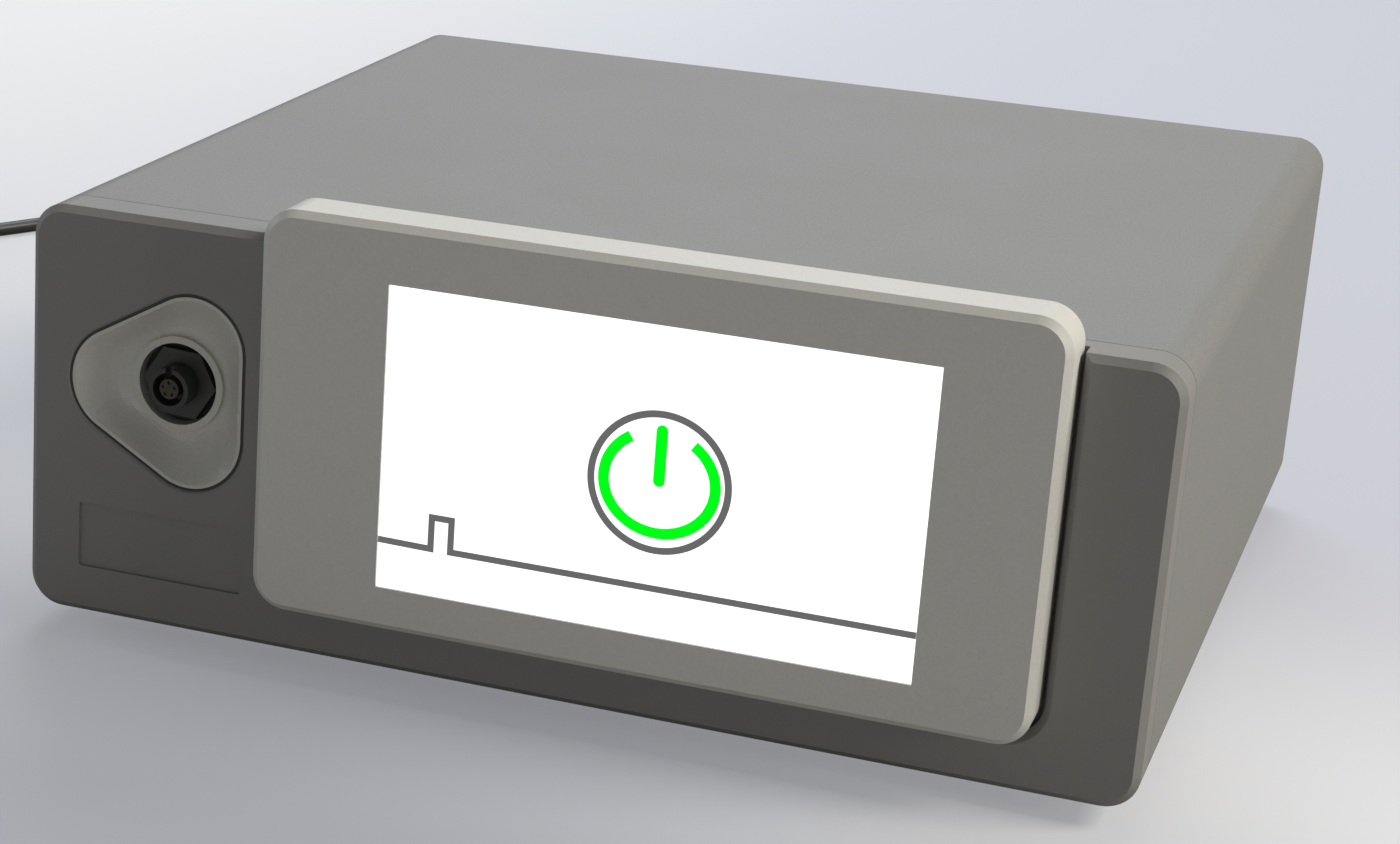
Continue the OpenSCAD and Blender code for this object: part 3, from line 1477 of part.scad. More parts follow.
module plug_body() {
    shoulder = collar_l + plug_shoulder;
    color([0.09, 0.09, 0.09]) at_plug() {
        rotate([-90, 0, 0]) cylinder(r1 = collar_r[0], r2 = collar_r[1], h = collar_l + overrun);
        intersection() {
            translate([0, collar_l, 0]) slab(plug_w, plug_h, plug_round, plug_l);
            linear_extrude(plug_h, center = true) polygon([[-plug_waist_w / 2, collar_l],
                [-plug_w / 2, shoulder], [-plug_w / 2, collar_l + plug_l],
                [plug_w / 2, collar_l + plug_l], [plug_w / 2, shoulder], [plug_waist_w / 2, collar_l]]);
        }
    }
}

module plug_pins() {
    color([0.80, 0.78, 0.70]) at_plug() translate([0, collar_l + plug_l, 0]) {
        for (s = [-1, 1]) translate([s * blade_apart / 2 - blade[1] / 2, 0, blade_up - blade[0] / 2])
            cube([blade[1], blade[2], blade[0]]);
        translate([0, 0, -earth_down]) {
            rod_y(earth_r, earth_l - earth_r);
            translate([0, earth_l - earth_r, 0]) sphere(earth_r);
        }
    }
}

case_sleeve();
front_panel();
rear_panel();
base_tray();
tie_rods();
rear_screws();
feet();
foot_screws();
connector_cup();
cup_screws();
socket_body();
socket_insert();
socket_contacts();
socket_seal();
socket_locknut();
output_harness();
pod_bezel();
touch_glass();
lcd_panel();
lcd_bracket();
display_board();
display_screws();
pod_back();
pod_screws();
pod_gasket();
pod_mount_screws();
display_ribbon();
main_board();
main_board_parts();
pulse_board();
capacitor_bank();
heat_sink();
power_transistors();
output_relays();
pulse_board_headers();
supply_board();
supply_board_parts();
board_standoffs();
board_screws();
mains_transformer();
transformer_clamp();
mains_harness();
fan_frame();
fan_rotor();
fan_screws();
switch_frame();
switch_rocker();
fuse_holder();
fuse_nut();
fuse_cap();
fuse_link();
strain_relief();
gland_nut();
cord_run();
cord_coil();
coil_tie();
plug_body();
plug_pins();
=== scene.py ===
"""Looks of a bench electroporator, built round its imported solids.

Sizes are in millimetres until they become meshes. Lamps and floor are given in metres.
"""

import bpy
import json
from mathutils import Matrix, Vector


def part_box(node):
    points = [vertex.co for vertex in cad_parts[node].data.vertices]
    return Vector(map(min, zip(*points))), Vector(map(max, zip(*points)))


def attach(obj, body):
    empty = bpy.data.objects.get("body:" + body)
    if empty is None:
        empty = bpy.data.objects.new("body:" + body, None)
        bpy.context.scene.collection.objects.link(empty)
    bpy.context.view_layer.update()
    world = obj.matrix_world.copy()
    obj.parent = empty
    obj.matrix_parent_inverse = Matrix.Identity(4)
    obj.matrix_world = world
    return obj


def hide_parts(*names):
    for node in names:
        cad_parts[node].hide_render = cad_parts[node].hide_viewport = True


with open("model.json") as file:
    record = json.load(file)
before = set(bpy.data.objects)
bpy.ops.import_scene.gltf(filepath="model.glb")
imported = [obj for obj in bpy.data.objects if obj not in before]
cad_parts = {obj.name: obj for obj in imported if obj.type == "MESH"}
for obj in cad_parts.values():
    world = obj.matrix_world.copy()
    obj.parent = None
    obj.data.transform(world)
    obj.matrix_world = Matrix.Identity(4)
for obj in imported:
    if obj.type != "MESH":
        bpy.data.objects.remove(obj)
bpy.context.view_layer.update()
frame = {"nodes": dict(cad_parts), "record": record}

import json
import logging
import math
from dataclasses import dataclass
from enum import Enum
from functools import lru_cache
from typing import Any, Iterable, Sequence

import bmesh
import bpy
from mathutils import Matrix, Vector

LOG = logging.getLogger("electroporator")
SLOTS: dict[str, str] = {
    part["node"]: part["material_slot"] for part in frame["record"]["subparts"]
}
DRESSED: set[str] = set()
MM = 0.001
Point = Sequence[float]
Pair = tuple[float, float]
Triple = tuple[float, float, float]

# Octaves of the fine grain; broad clouds in a metre and their octaves; the clouds' share
FINE_DETAIL = 3.0
CLOUDS = (18.0, 2.0)
CLOUD_SHARE = 0.08
# Spans of the noise over which tint and roughness change; the roughness's swing and least
TINT_SPAN = (0.36, 0.72)
ROUGH_SPAN = (0.3, 0.7)
ROUGH_SWING = 0.03
LEAST_ROUGH = 0.02
BUMP_STRENGTH = 0.6
# Corners of a mesh nearer than this, in metres, are merged
MERGE = 1e-7
# Ends of a line nearer than this, in millimetres, close it; past the limit a mitre is cut back
CLOSES = 1e-6
MITRE_LIMIT = 0.3
# Smallest and largest scale of the chips on a board
CHIP_SCALES = ((0.6, 0.6, 1.0), (1.4, 1.4, 1.0))


class Grain(Enum):
    """Fine structure of a surface."""

    POWDER = "powder coat"
    SATIN = "satin coat"
    MOULDED = "moulded plastic"
    TURNED = "turned or rolled metal"
    SMOOTH = "polished or printed"
    WOVEN = "woven"
    RUBBER = "rubber"


@dataclass(frozen=True)
class GrainLook:
    """How a grain shows: size and height in millimetres, its speckle and how it stretches."""

    size: float
    height: float
    speckle: float
    stretch: Triple = (1.0, 1.0, 1.0)


GRAINS: dict[Grain, GrainLook] = {
    Grain.POWDER: GrainLook(0.8, 0.05, 0.10),
    Grain.SATIN: GrainLook(0.7, 0.012, 0.03),
    Grain.MOULDED: GrainLook(0.5, 0.015, 0.05),
    Grain.TURNED: GrainLook(0.6, 0.006, 0.06, (0.08, 1.0, 1.0)),
    Grain.SMOOTH: GrainLook(3.0, 0.002, 0.02),
    Grain.WOVEN: GrainLook(0.45, 0.12, 0.25, (1.0, 1.0, 2.5)),
    Grain.RUBBER: GrainLook(0.9, 0.03, 0.10),
}


def linear(value: float) -> float:
    """Returns the scene-linear share of a display value from 0 to 255."""
    share = value / 255.0
    return share / 12.92 if share <= 0.04045 else ((share + 0.055) / 1.055) ** 2.4


class NodeMaker:
    """Adds nodes to one node tree and feeds their inputs."""

    def __init__(self, tree: bpy.types.NodeTree) -> None:
        """Takes the tree."""
        self.tree = tree

    def feed(self, socket: bpy.types.NodeSocket, value: Any) -> None:
        """Links an input to a socket, or sets it to a value.

        Args:
            socket: The input.
            value: The socket or the value that it takes.
        """
        if isinstance(value, bpy.types.NodeSocket):
            self.tree.links.new(value, socket)
        else:
            socket.default_value = value

    def live(self, sockets: Any, name: str) -> bpy.types.NodeSocket:
        """Returns the enabled socket of that name."""
        return next(s for s in sockets if s.name == name and s.enabled)

    def add(
        self, kind: str, settings: dict[str, Any] | None = None, values: Sequence[Any] = (),
        **inputs: Any,
    ) -> bpy.types.Node:
        """Adds a node and feeds its inputs.

        Args:
            kind: The node's type.
            settings: Properties of the node that are set first.
            values: Sockets or values of the first inputs, in their order.
            inputs: Sockets or values by the name of an enabled input, with _ for a space.

        Returns:
            The node.
        """
        node = self.tree.nodes.new(kind)
        for key, value in (settings or {}).items():
            setattr(node, key, value)
        for socket, value in zip(node.inputs, values):
            self.feed(socket, value)
        for key, value in inputs.items():
            self.feed(self.live(node.inputs, key.replace("_", " ")), value)
        return node

    def math(self, operation: str, *values: Any) -> bpy.types.NodeSocket:
        """Returns the result of a sum."""
        return self.add("ShaderNodeMath", {"operation": operation}, values).outputs[0]

    def mix(self, share: Any, one: Any, two: Any, kind: str = "Shader") -> bpy.types.NodeSocket:
        """Returns the mix of two shaders, or of two colours where the kind is RGB."""
        return self.add("ShaderNodeMix" + kind, values=(share, one, two)).outputs[0]

    def noise(self, place: Any, scale: float, detail: float) -> bpy.types.NodeSocket:
        """Returns a noise of so many bumps in a metre, with so many octaves."""
        node = self.add("ShaderNodeTexNoise", Scale=scale, Detail=detail, Vector=place)
        return node.outputs["Fac"]

    def span(
        self, value: Any, source: Pair, target: Pair = (0.0, 1.0), form: str = "SMOOTHSTEP"
    ) -> bpy.types.NodeSocket:
        """Maps a value from one span to another.

        Args:
            value: The socket that gives the value.
            source: The span that it comes from.
            target: The span that it goes to.
            form: How it runs between the ends.

        Returns:
            The socket of the mapped value.
        """
        node = self.add(
            "ShaderNodeMapRange", {"interpolation_type": form}, Value=value,
            From_Min=source[0], From_Max=source[1], To_Min=target[0], To_Max=target[1],
        )
        return node.outputs["Result"]

    def ramp(self, share: Any, stops: Sequence[tuple[float, Point]]) -> bpy.types.NodeSocket:
        """Turns a share into a colour.

        Args:
            share: The socket that gives the share.
            stops: Colours by place, the two ends first.

        Returns:
            The socket of the colour.
        """
        node = self.add("ShaderNodeValToRGB", Fac=share)
        elements = node.color_ramp.elements
        for element, (place, colour) in zip(elements, stops[:2]):
            element.position, element.color = place, colour
        for place, colour in stops[2:]:
            elements.new(place).color = colour
        return node.outputs["Color"]


@dataclass(frozen=True)
class Finish:
    """One finish of the instrument, made as a procedural material on object coordinates."""

    name: str
    colour: tuple[int, int, int]
    roughness: float
    grain: Grain = Grain.MOULDED
    metallic: float = 0.0
    coat: float = 0.0
    glow: float = 0.0
    sheen: float = 0.0
    clear: float = 0.0
    gloss: float = 0.5

    @lru_cache(maxsize=None)
    def material(self) -> bpy.types.Material:
        """Builds the material once.

        Returns:
            The same material each time that it is asked for.
        """
        mat = bpy.data.materials.new("look_" + self.name)
        mat.use_nodes = True
        maker = NodeMaker(mat.node_tree)
        look = GRAINS[self.grain]
        coord = maker.add("ShaderNodeTexCoord").outputs["Object"]
        place = maker.add("ShaderNodeMapping", Scale=look.stretch, Vector=coord).outputs["Vector"]
        fine = maker.noise(place, 1.0 / (look.size * MM), FINE_DETAIL)
        broad = maker.noise(place, *CLOUDS)
        bump = maker.add(
            "ShaderNodeBump", Strength=BUMP_STRENGTH, Distance=look.height * MM, Height=fine
        )
        values = {
            "Base Color": self._tint(maker, fine, broad, look.speckle),
            "Roughness": self._roughness_over(maker, broad),
            "Normal": bump.outputs["Normal"],
            "Metallic": self.metallic,
            "Coat Weight": self.coat,
            "Specular IOR Level": self.gloss,
            "Sheen Weight": self.sheen,
            "Transmission Weight": self.clear,
        }
        if self.glow:
            values |= {"Emission Color": self.rgba(), "Emission Strength": self.glow}
        shader = mat.node_tree.nodes["Principled BSDF"]
        for key, value in values.items():
            maker.feed(shader.inputs[key], value)
        return mat

    def rgba(self, factor: float = 1.0) -> tuple[float, float, float, float]:
        """Returns the colour, times a factor, as scene-linear shares with full cover."""
        red, green, blue = (min(1.0, linear(c) * factor) for c in self.colour)
        return red, green, blue, 1.0

    def _tint(
        self, maker: NodeMaker, fine: Any, broad: Any, speckle: float
    ) -> bpy.types.NodeSocket:
        """Lets the colour vary a little, in speckles and in broad soft clouds.

        Args:
            maker: The maker of the material's nodes.
            fine: The fine noise.
            broad: The broad noise.
            speckle: How far the colour goes either way.

        Returns:
            The socket of the colour.
        """
        share = maker.math("MULTIPLY_ADD", broad, CLOUD_SHARE, fine)
        tones = (self.rgba(1.0 - speckle), self.rgba(1.0 + speckle))
        return maker.ramp(share, tuple(zip(TINT_SPAN, tones)))

    def _roughness_over(self, maker: NodeMaker, broad: Any) -> bpy.types.NodeSocket:
        """Lets the roughness vary slowly over the surface.

        Args:
            maker: The maker of the material's nodes.
            broad: The broad noise.

        Returns:
            The socket of the roughness.
        """
        low, high = self.roughness - ROUGH_SWING, self.roughness + ROUGH_SWING
        return maker.span(broad, ROUGH_SPAN, (max(LEAST_ROUGH, low), min(1.0, high)), "LINEAR")


FINISHES: dict[str, Finish] = {
    "case_paint": Finish("case_powder_grey", (126, 126, 125), 0.60, Grain.POWDER),
    "panel_paint": Finish("panel_satin_grey", (130, 129, 127), 0.60, Grain.SATIN),
    "rear_paint": Finish("rear_powder_grey", (106, 106, 104), 0.66, Grain.POWDER),
    "pod_paint": Finish("pod_pale_grey", (200, 199, 194), 0.48, Grain.SATIN),
    "satin_cup": Finish("cup_satin_grey", (198, 197, 190), 0.28),
    "socket_black": Finish("socket_black", (52, 52, 50), 0.40),
    "insert_tan": Finish("insert_tan", (58, 56, 45), 0.50),
    "brass": Finish("brass", (196, 158, 84), 0.32, Grain.TURNED, metallic=1.0),
    "bright_steel": Finish("bright_steel", (186, 188, 190), 0.34, Grain.TURNED, metallic=1.0),
    "black_steel": Finish("black_steel", (46, 46, 48), 0.40, Grain.TURNED, metallic=0.6),
    "foot_rubber": Finish("foot_rubber", (34, 34, 34), 0.80, Grain.RUBBER),
    "wire_jacket": Finish("wire_jacket", (60, 58, 56), 0.50, Grain.RUBBER),
    "screen_glass": Finish(
        "screen_glass", (250, 251, 252), 0.12, Grain.SMOOTH, coat=0.2, glow=1.0
    ),
    "board_green": Finish("board_green", (24, 92, 56), 0.40, Grain.SMOOTH, coat=0.4),
    "part_black": Finish("part_black", (34, 34, 36), 0.52),
    "header_white": Finish("header_white", (226, 222, 208), 0.45),
    "ribbon_grey": Finish("ribbon_grey", (176, 180, 184), 0.46, Grain.RUBBER),
    "capacitor_sleeve": Finish("capacitor_sleeve", (32, 44, 84), 0.30, Grain.SMOOTH, coat=0.3),
    "sink_aluminium": Finish("sink_aluminium", (176, 178, 182), 0.38, Grain.TURNED, metallic=1.0),
    "relay_blue": Finish("relay_blue", (44, 74, 140), 0.34),
    "toroid_tape": Finish("toroid_tape", (206, 190, 112), 0.32, Grain.SMOOTH, coat=0.3),
    "fan_black": Finish("fan_black", (30, 30, 31), 0.48),
    "rocker_red": Finish("rocker_red", (176, 30, 26), 0.30, Grain.SMOOTH, coat=0.3),
    "fuse_glass": Finish("fuse_glass", (210, 216, 218), 0.08, Grain.SMOOTH, clear=0.7),
    "lead_jacket": Finish("lead_jacket", (40, 40, 40), 0.44, Grain.RUBBER),
    "tie_black": Finish("tie_black", (30, 30, 32), 0.85, Grain.WOVEN, sheen=0.3),
    "plug_black": Finish("plug_black", (32, 32, 33), 0.46, Grain.RUBBER),
    "pin_metal": Finish("pin_metal", (200, 178, 122), 0.28, Grain.TURNED, metallic=1.0),
}
PULSE_GREY = Finish("screen_grey", (98, 98, 98), 0.6, Grain.SMOOTH, glow=0.8, gloss=0.05)
POWER_GREEN = Finish("screen_green", (0, 254, 20), 0.6, Grain.SMOOTH, glow=0.95, gloss=0.0)
# Painted shade: dark grey for the bead that stands in for the shadow in the gap round the cup.
PAINTED_SHADE_BEAD_GREY = Finish("painted_shade_bead_grey", (62, 62, 60), 0.7, Grain.RUBBER)
MARK_WHITE = Finish("mark_white", (232, 232, 230), 0.45, Grain.SMOOTH)


def linked(name: str, data: bpy.types.ID) -> bpy.types.Object:
    """Makes an object and links it to the scene.

    Args:
        name: The object's name.
        data: Its mesh, curve, lamp or camera.

    Returns:
        The object.
    """
    made = bpy.data.objects.new(name, data)
    bpy.context.scene.collection.objects.link(made)
    return made


def new_object(
    name: str,
    points: Iterable[Point],
    faces: Iterable[Sequence[int]] = (),
    edges: Iterable[Sequence[int]] = (),
) -> bpy.types.Object:
    """Makes a mesh object from points in millimetres.

    Args:
        name: The piece's name.
        points: Its corners.
        faces: Its faces, as indices of corners.
        edges: Its edges that have no face, as indices of corners.

    Returns:
        The object, linked to the scene.
    """
    mesh = bpy.data.meshes.new(name)
    mesh.from_pydata([Vector(p) * MM for p in points], list(edges), list(faces))
    mesh.update()
    return linked(name, mesh)


def tidy_mesh(obj: bpy.types.Object, angle: float) -> None:
    """Turns a closed mesh's faces outwards and shades it smooth up to an angle.

    Args:
        obj: The piece.
        angle: Degrees past which an edge stays sharp.
    """
    net = bmesh.new()
    net.from_mesh(obj.data)
    bmesh.ops.remove_doubles(net, verts=net.verts, dist=MERGE)
    bmesh.ops.recalc_face_normals(net, faces=net.faces)
    net.to_mesh(obj.data)
    net.free()
    obj.data.shade_smooth()
    obj.data.set_sharp_from_angle(angle=math.radians(angle))


def stroke(
    name: str, middle: Sequence[Point], width: float, front: float, depth: float
) -> bpy.types.Object:
    """Makes a flat printed stroke of even width in the plane of the screen.

    Args:
        name: The piece's name.
        middle: Points (x, z) of its middle line; a closed line repeats its first point.
        width: Width of the stroke.
        front: The y of its front.
        depth: Its thickness.

    Returns:
        The stroke as a closed mesh.
    """
    line = [Vector((p[0], p[1])) for p in middle]
    closed = (line[0] - line[-1]).length < CLOSES
    if closed:
        line = line[:-1]
    n = len(line)
    points: list[Point] = []
    for i, here in enumerate(line):
        before = line[i - 1] if i or closed else here
        after = line[(i + 1) % n] if i < n - 1 or closed else here
        one, two = here - before, after - here
        one = one.normalized() if one.length else two.normalized()
        two = two.normalized() if two.length else one
        mitre = (one + two).normalized()
        side = Vector((-mitre.y, mitre.x)) * (width / 2 / max(MITRE_LIMIT, mitre.dot(one)))
        left, right = here + side, here - side
        for y in (front, front + depth):
            points += [(left.x, y, left.y), (right.x, y, right.y)]
    faces = []
    for i in range(n if closed else n - 1):
        a, b = 4 * i, 4 * ((i + 1) % n)
        faces += [(a, b, b + 1, a + 1), (a + 2, a + 3, b + 3, b + 2)]
        faces += [(a, a + 2, b + 2, b), (a + 1, b + 1, b + 3, a + 3)]
    if not closed:
        last = 4 * (n - 1)
        faces += [(0, 1, 3, 2), (last, last + 2, last + 3, last + 1)]
    made = new_object(name, points, faces)
    tidy_mesh(made, angle=20.0)
    return made


def arc(centre: Point, radii: Point, start: float, end: float, steps: int) -> list[Point]:
    """Points of an elliptic arc.

    Args:
        centre: Its centre (x, z).
        radii: Its half axes along x and z.
        start: First angle in degrees.
        end: Last angle in degrees.
        steps: How many parts it has.

    Returns:
        Its points (x, z), from start to end.
    """
    (x, z), (wide, high) = centre, radii
    angles = [math.radians(start + (end - start) * i / steps) for i in range(steps + 1)]
    return [(x + wide * math.cos(a), z + high * math.sin(a)) for a in angles]


@dataclass(frozen=True)
class Seat:
    """Where one of many like pieces sits: place in millimetres, turn in degrees, and scale."""

    place: Triple
    turn: Triple = (0.0, 0.0, 0.0)
    scale: Triple = (1.0, 1.0, 1.0)


def block(name: str, size: Point, edge: float) -> bpy.types.Object:
    """Makes a box round the origin with its edges cut at an angle.

    Args:
        name: The piece's name.
        size: Its size along x, y and z.
        edge: How far its edges are cut back.

    Returns:
        The closed mesh.
    """
    made = new_object(name, [])
    net = bmesh.new()
    bmesh.ops.create_cube(net, size=1.0)
    bmesh.ops.scale(net, vec=Vector(size) * MM, verts=net.verts)
    bmesh.ops.bevel(net, geom=net.edges[:], offset=edge * MM, segments=1, affect="EDGES")
    net.to_mesh(made.data)
    net.free()
    return made


def turned(name: str, profile: Sequence[Point], steps: int) -> bpy.types.Object:
    """Turns a closed profile round the y axis.

    Args:
        name: The piece's name.
        profile: Points (radius, y) of the profile, all off the axis.
        steps: Parts of one turn.

    Returns:
        The closed mesh.
    """
    points: list[Point] = []
    faces: list[Sequence[int]] = []
    n = len(profile)
    for i in range(steps):
        angle = 2 * math.pi * i / steps
        points += [(r * math.cos(angle), y, r * math.sin(angle)) for r, y in profile]
        here, after = i * n, (i + 1) % steps * n
        for k in range(n):
            up = (k + 1) % n
            faces.append((here + k, after + k, after + up, here + up))
    made = new_object(name, points, faces)
    tidy_mesh(made, angle=40.0)
    return made


class TreeMaker(NodeMaker):
    """Builds one geometry node tree, with named inputs and the usual end."""

    def __init__(self, name: str, inputs: dict[str, str]) -> None:
        """Starts a tree.

        Args:
            name: The tree's name.
            inputs: Socket kinds by input name, besides the finish.
        """
        super().__init__(bpy.data.node_groups.new(name, "GeometryNodeTree"))
        sockets = [(key, "INPUT", kind) for key, kind in (inputs | {"Finish": "Material"}).items()]
        for key, way, kind in sockets + [("Geometry", "OUTPUT", "Geometry")]:
            self.tree.interface.new_socket(name=key, in_out=way, socket_type="NodeSocket" + kind)
        self.given = self.add("NodeGroupInput").outputs

    def end(
        self, spread: bpy.types.Node, whole: str = "Instances", turn: Point = (0.0, 0.0, 0.0),
        shift: Any = (0.0, 0.0, 0.0),
    ) -> bpy.types.NodeTree:
        """Turns and shifts the copies, makes them real and gives them their finish.

        Args:
            spread: The node that sets the copies.
            whole: The name of its socket that gives all of them.
            turn: How all of them are turned together, in radians.
            shift: How far all of them are moved, as a value or a socket.

        Returns:
            The finished tree.
        """
        geometry = spread.outputs[whole]
        for kind, inputs in (
            ("GeometryNodeTransform", {"Translation": shift, "Rotation": turn}),
            ("GeometryNodeRealizeInstances", {}),
            ("GeometryNodeSetMaterial", {"Material": self.given["Finish"]}),
        ):
            geometry = self.add(kind, Geometry=geometry, **inputs).outputs["Geometry"]
        self.add("NodeGroupOutput", Geometry=geometry)
        return self.tree


@lru_cache(maxsize=None)
def seats_tree() -> bpy.types.NodeTree:
    """Builds the tree that sets one shape on every point of a mesh.

    Returns:
        The tree, with the mesh, the shape and the finish as its inputs.
    """
    maker = TreeMaker("shapes_on_seats", {"Geometry": "Geometry", "Shape": "Object"})
    shape = maker.add("GeometryNodeObjectInfo", Object=maker.given["Shape"])
    turn, scale = (
        maker.add("GeometryNodeInputNamedAttribute", {"data_type": "FLOAT_VECTOR"}, Name=name)
        for name in ("seat_turn", "seat_scale")
    )
    spread = maker.add(
        "GeometryNodeInstanceOnPoints",
        Points=maker.given["Geometry"],
        Instance=shape.outputs["Geometry"],
        Rotation=maker.live(turn.outputs, "Attribute"),
        Scale=maker.live(scale.outputs, "Attribute"),
    )
    return maker.end(spread)


@lru_cache(maxsize=None)
def ribs_tree() -> bpy.types.NodeTree:
    """Builds the tree that sets ribs round an axis along y.

    Returns:
        The tree, with the ribs' count, radius, sizes and centre as its inputs.
    """
    maker = TreeMaker(
        "ribs_round_axis",
        {"Count": "Int", "Radius": "Float", "Rib": "Vector", "Centre": "Vector"},
    )
    given = maker.given
    circle = maker.add("GeometryNodeMeshCircle", Vertices=given["Count"], Radius=given["Radius"])
    rib = maker.add("GeometryNodeMeshCube", Size=given["Rib"])
    index = maker.add("GeometryNodeInputIndex").outputs["Index"]
    angle = maker.math("MULTIPLY", index, maker.math("DIVIDE", 2 * math.pi, given["Count"]))
    spread = maker.add(
        "GeometryNodeInstanceOnPoints",
        Points=circle.outputs["Mesh"],
        Instance=rib.outputs["Mesh"],
        Rotation=maker.add("ShaderNodeCombineXYZ", Z=angle).outputs["Vector"],
    )
    return maker.end(spread, turn=(math.pi / 2, 0.0, 0.0), shift=given["Centre"])


@lru_cache(maxsize=None)
def chips_tree() -> bpy.types.NodeTree:
    """Builds the tree that scatters flat chips over the upper face of a board.

    Returns:
        The tree, with the chips' count, seed, size and field as its inputs.
    """
    maker = TreeMaker(
        "chips_on_board",
        {"Count": "Int", "Seed": "Int", "Low": "Vector", "High": "Vector", "Chip": "Vector"},
    )
    given = maker.given
    place, quarter, scale = (
        maker.live(
            maker.add(
                "FunctionNodeRandomValue", {"data_type": kind}, Min=low, Max=high,
                Seed=given["Seed"],
            ).outputs,
            "Value",
        )
        for kind, low, high in (
            ("FLOAT_VECTOR", given["Low"], given["High"]),
            ("INT", 0, 1),
            ("FLOAT_VECTOR", *CHIP_SCALES),
        )
    )
    points = maker.add("GeometryNodePoints", Count=given["Count"], Position=place)
    chip = maker.add("GeometryNodeMeshCube", Size=given["Chip"])
    angle = maker.math("MULTIPLY", quarter, math.pi / 2)
    spread = maker.add(
        "GeometryNodeInstanceOnPoints",
        Points=points.outputs[0],
        Instance=chip.outputs["Mesh"],
        Rotation=maker.add("ShaderNodeCombineXYZ", Z=angle).outputs["Vector"],
        Scale=scale,
    )
    return maker.end(spread)


@lru_cache(maxsize=None)
def bead_tree() -> bpy.types.NodeTree:
    """Builds the tree that lays a round bead along the edges of a mesh.

    Returns:
        The tree, with the mesh and the bead's radius and sides as its inputs.
    """
    maker = TreeMaker(
        "bead_along_edges", {"Geometry": "Geometry", "Radius": "Float", "Sides": "Int"}
    )
    given = maker.given
    line = maker.add("GeometryNodeMeshToCurve", Mesh=given["Geometry"]).outputs["Curve"]
    ring = maker.add(
        "GeometryNodeCurvePrimitiveCircle", Resolution=given["Sides"], Radius=given["Radius"]
    )
    bead = maker.add("GeometryNodeCurveToMesh", Curve=line, Profile_Curve=ring.outputs["Curve"])
    return maker.end(bead, "Mesh")


def grown(
    name: str,
    tree: bpy.types.NodeTree,
    finish: Finish,
    host: bpy.types.Object | None = None,
    **sizes: Any,
) -> bpy.types.Object:
    """Runs a tree and keeps its result as one plain mesh.

    Args:
        name: The piece's name.
        tree: The geometry node tree.
        finish: The piece's finish.
        host: The object that carries the tree; it is used up.
        sizes: The tree's inputs by name, in metres where they are sizes.

    Returns:
        The piece.
    """
    host = host or new_object(name + "_host", [])
    modifier = host.modifiers.new("tree", "NODES")
    modifier.node_group = tree
    sizes["Finish"] = finish.material()
    for item in tree.interface.items_tree:
        if item.in_out == "INPUT" and item.name in sizes:
            modifier[item.identifier] = sizes[item.name]
    graph = bpy.context.evaluated_depsgraph_get()
    mesh = bpy.data.meshes.new_from_object(host.evaluated_get(graph))
    mesh.name = name
    made = linked(name, mesh)
    bpy.data.objects.remove(host)
    LOG.info("grew %s with %d faces", name, len(mesh.polygons))
    return made


def repeated(
    name: str, shape: bpy.types.Object, seats: Sequence[Seat], finish: Finish
) -> bpy.types.Object:
    """Sets copies of a shape on their seats, as one plain mesh.

    Args:
        name: The piece's name.
        shape: What is repeated; it is used up.
        seats: Where the copies sit.
        finish: Their finish.

    Returns:
        The mesh of all the copies.
    """
    points = new_object(name + "_seats", [s.place for s in seats])
    for key, values in (
        ("seat_turn", [math.radians(a) for s in seats for a in s.turn]),
        ("seat_scale", [k for s in seats for k in s.scale]),
    ):
        attribute = points.data.attributes.new(key, "FLOAT_VECTOR", "POINT")
        attribute.data.foreach_set("vector", values)
    made = grown(name, seats_tree(), finish, points, Shape=shape)
    bpy.data.objects.remove(shape)
    return made


@dataclass
class SubAssembly:
    """A group of pieces that ride on one body of the frame, and the solids that belong to it."""

    body: str = "chassis"
    nodes: tuple[str, ...] = ()

    def dress(self) -> None:
        """Gives the group's solids the finishes of their slots."""
        for name in self.nodes:
            mesh = frame["nodes"][name].data
            mesh.materials.clear()
            mesh.materials.append(FINISHES[SLOTS[name]].material())
            DRESSED.add(name)
        LOG.info("%s: dressed %d solids", type(self).__name__, len(self.nodes))

    def build(self) -> None:
        """Dresses the group's solids."""
        self.dress()

    def mount(
        self, obj: bpy.types.Object, slot: str, finish: Finish | None = None,
        body: str | None = None, replaces: Sequence[str] = (),
    ) -> bpy.types.Object:
        """Gives a piece its finish and its place in the frame.

        Args:
            obj: The piece.
            slot: The record's material slot that it belongs to.
            finish: Its finish, where it isn't the slot's own.
            body: The body that it rides on, where it isn't the group's own.
            replaces: Nodes of the frame that it stands for.

        Returns:
            The same piece.
        """
        obj.data.materials.clear()
        obj.data.materials.append((finish or FINISHES[slot]).material())
        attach(obj, body or self.body)
        if replaces:
            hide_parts(*replaces)
        LOG.info("piece %s on %s", obj.name, body or self.body)
        return obj


def eased(low: float, high: float, share: float) -> float:
    """Returns the height at a share of a smooth climb from low to high."""
    return low + (high - low) * (1 - math.cos(math.pi * share)) / 2


def along(value: float, start: float, length: float) -> float:
    """Returns how far a value is along a stretch, from 0 to 1."""
    return min(1.0, max(0.0, (value - start) / length))


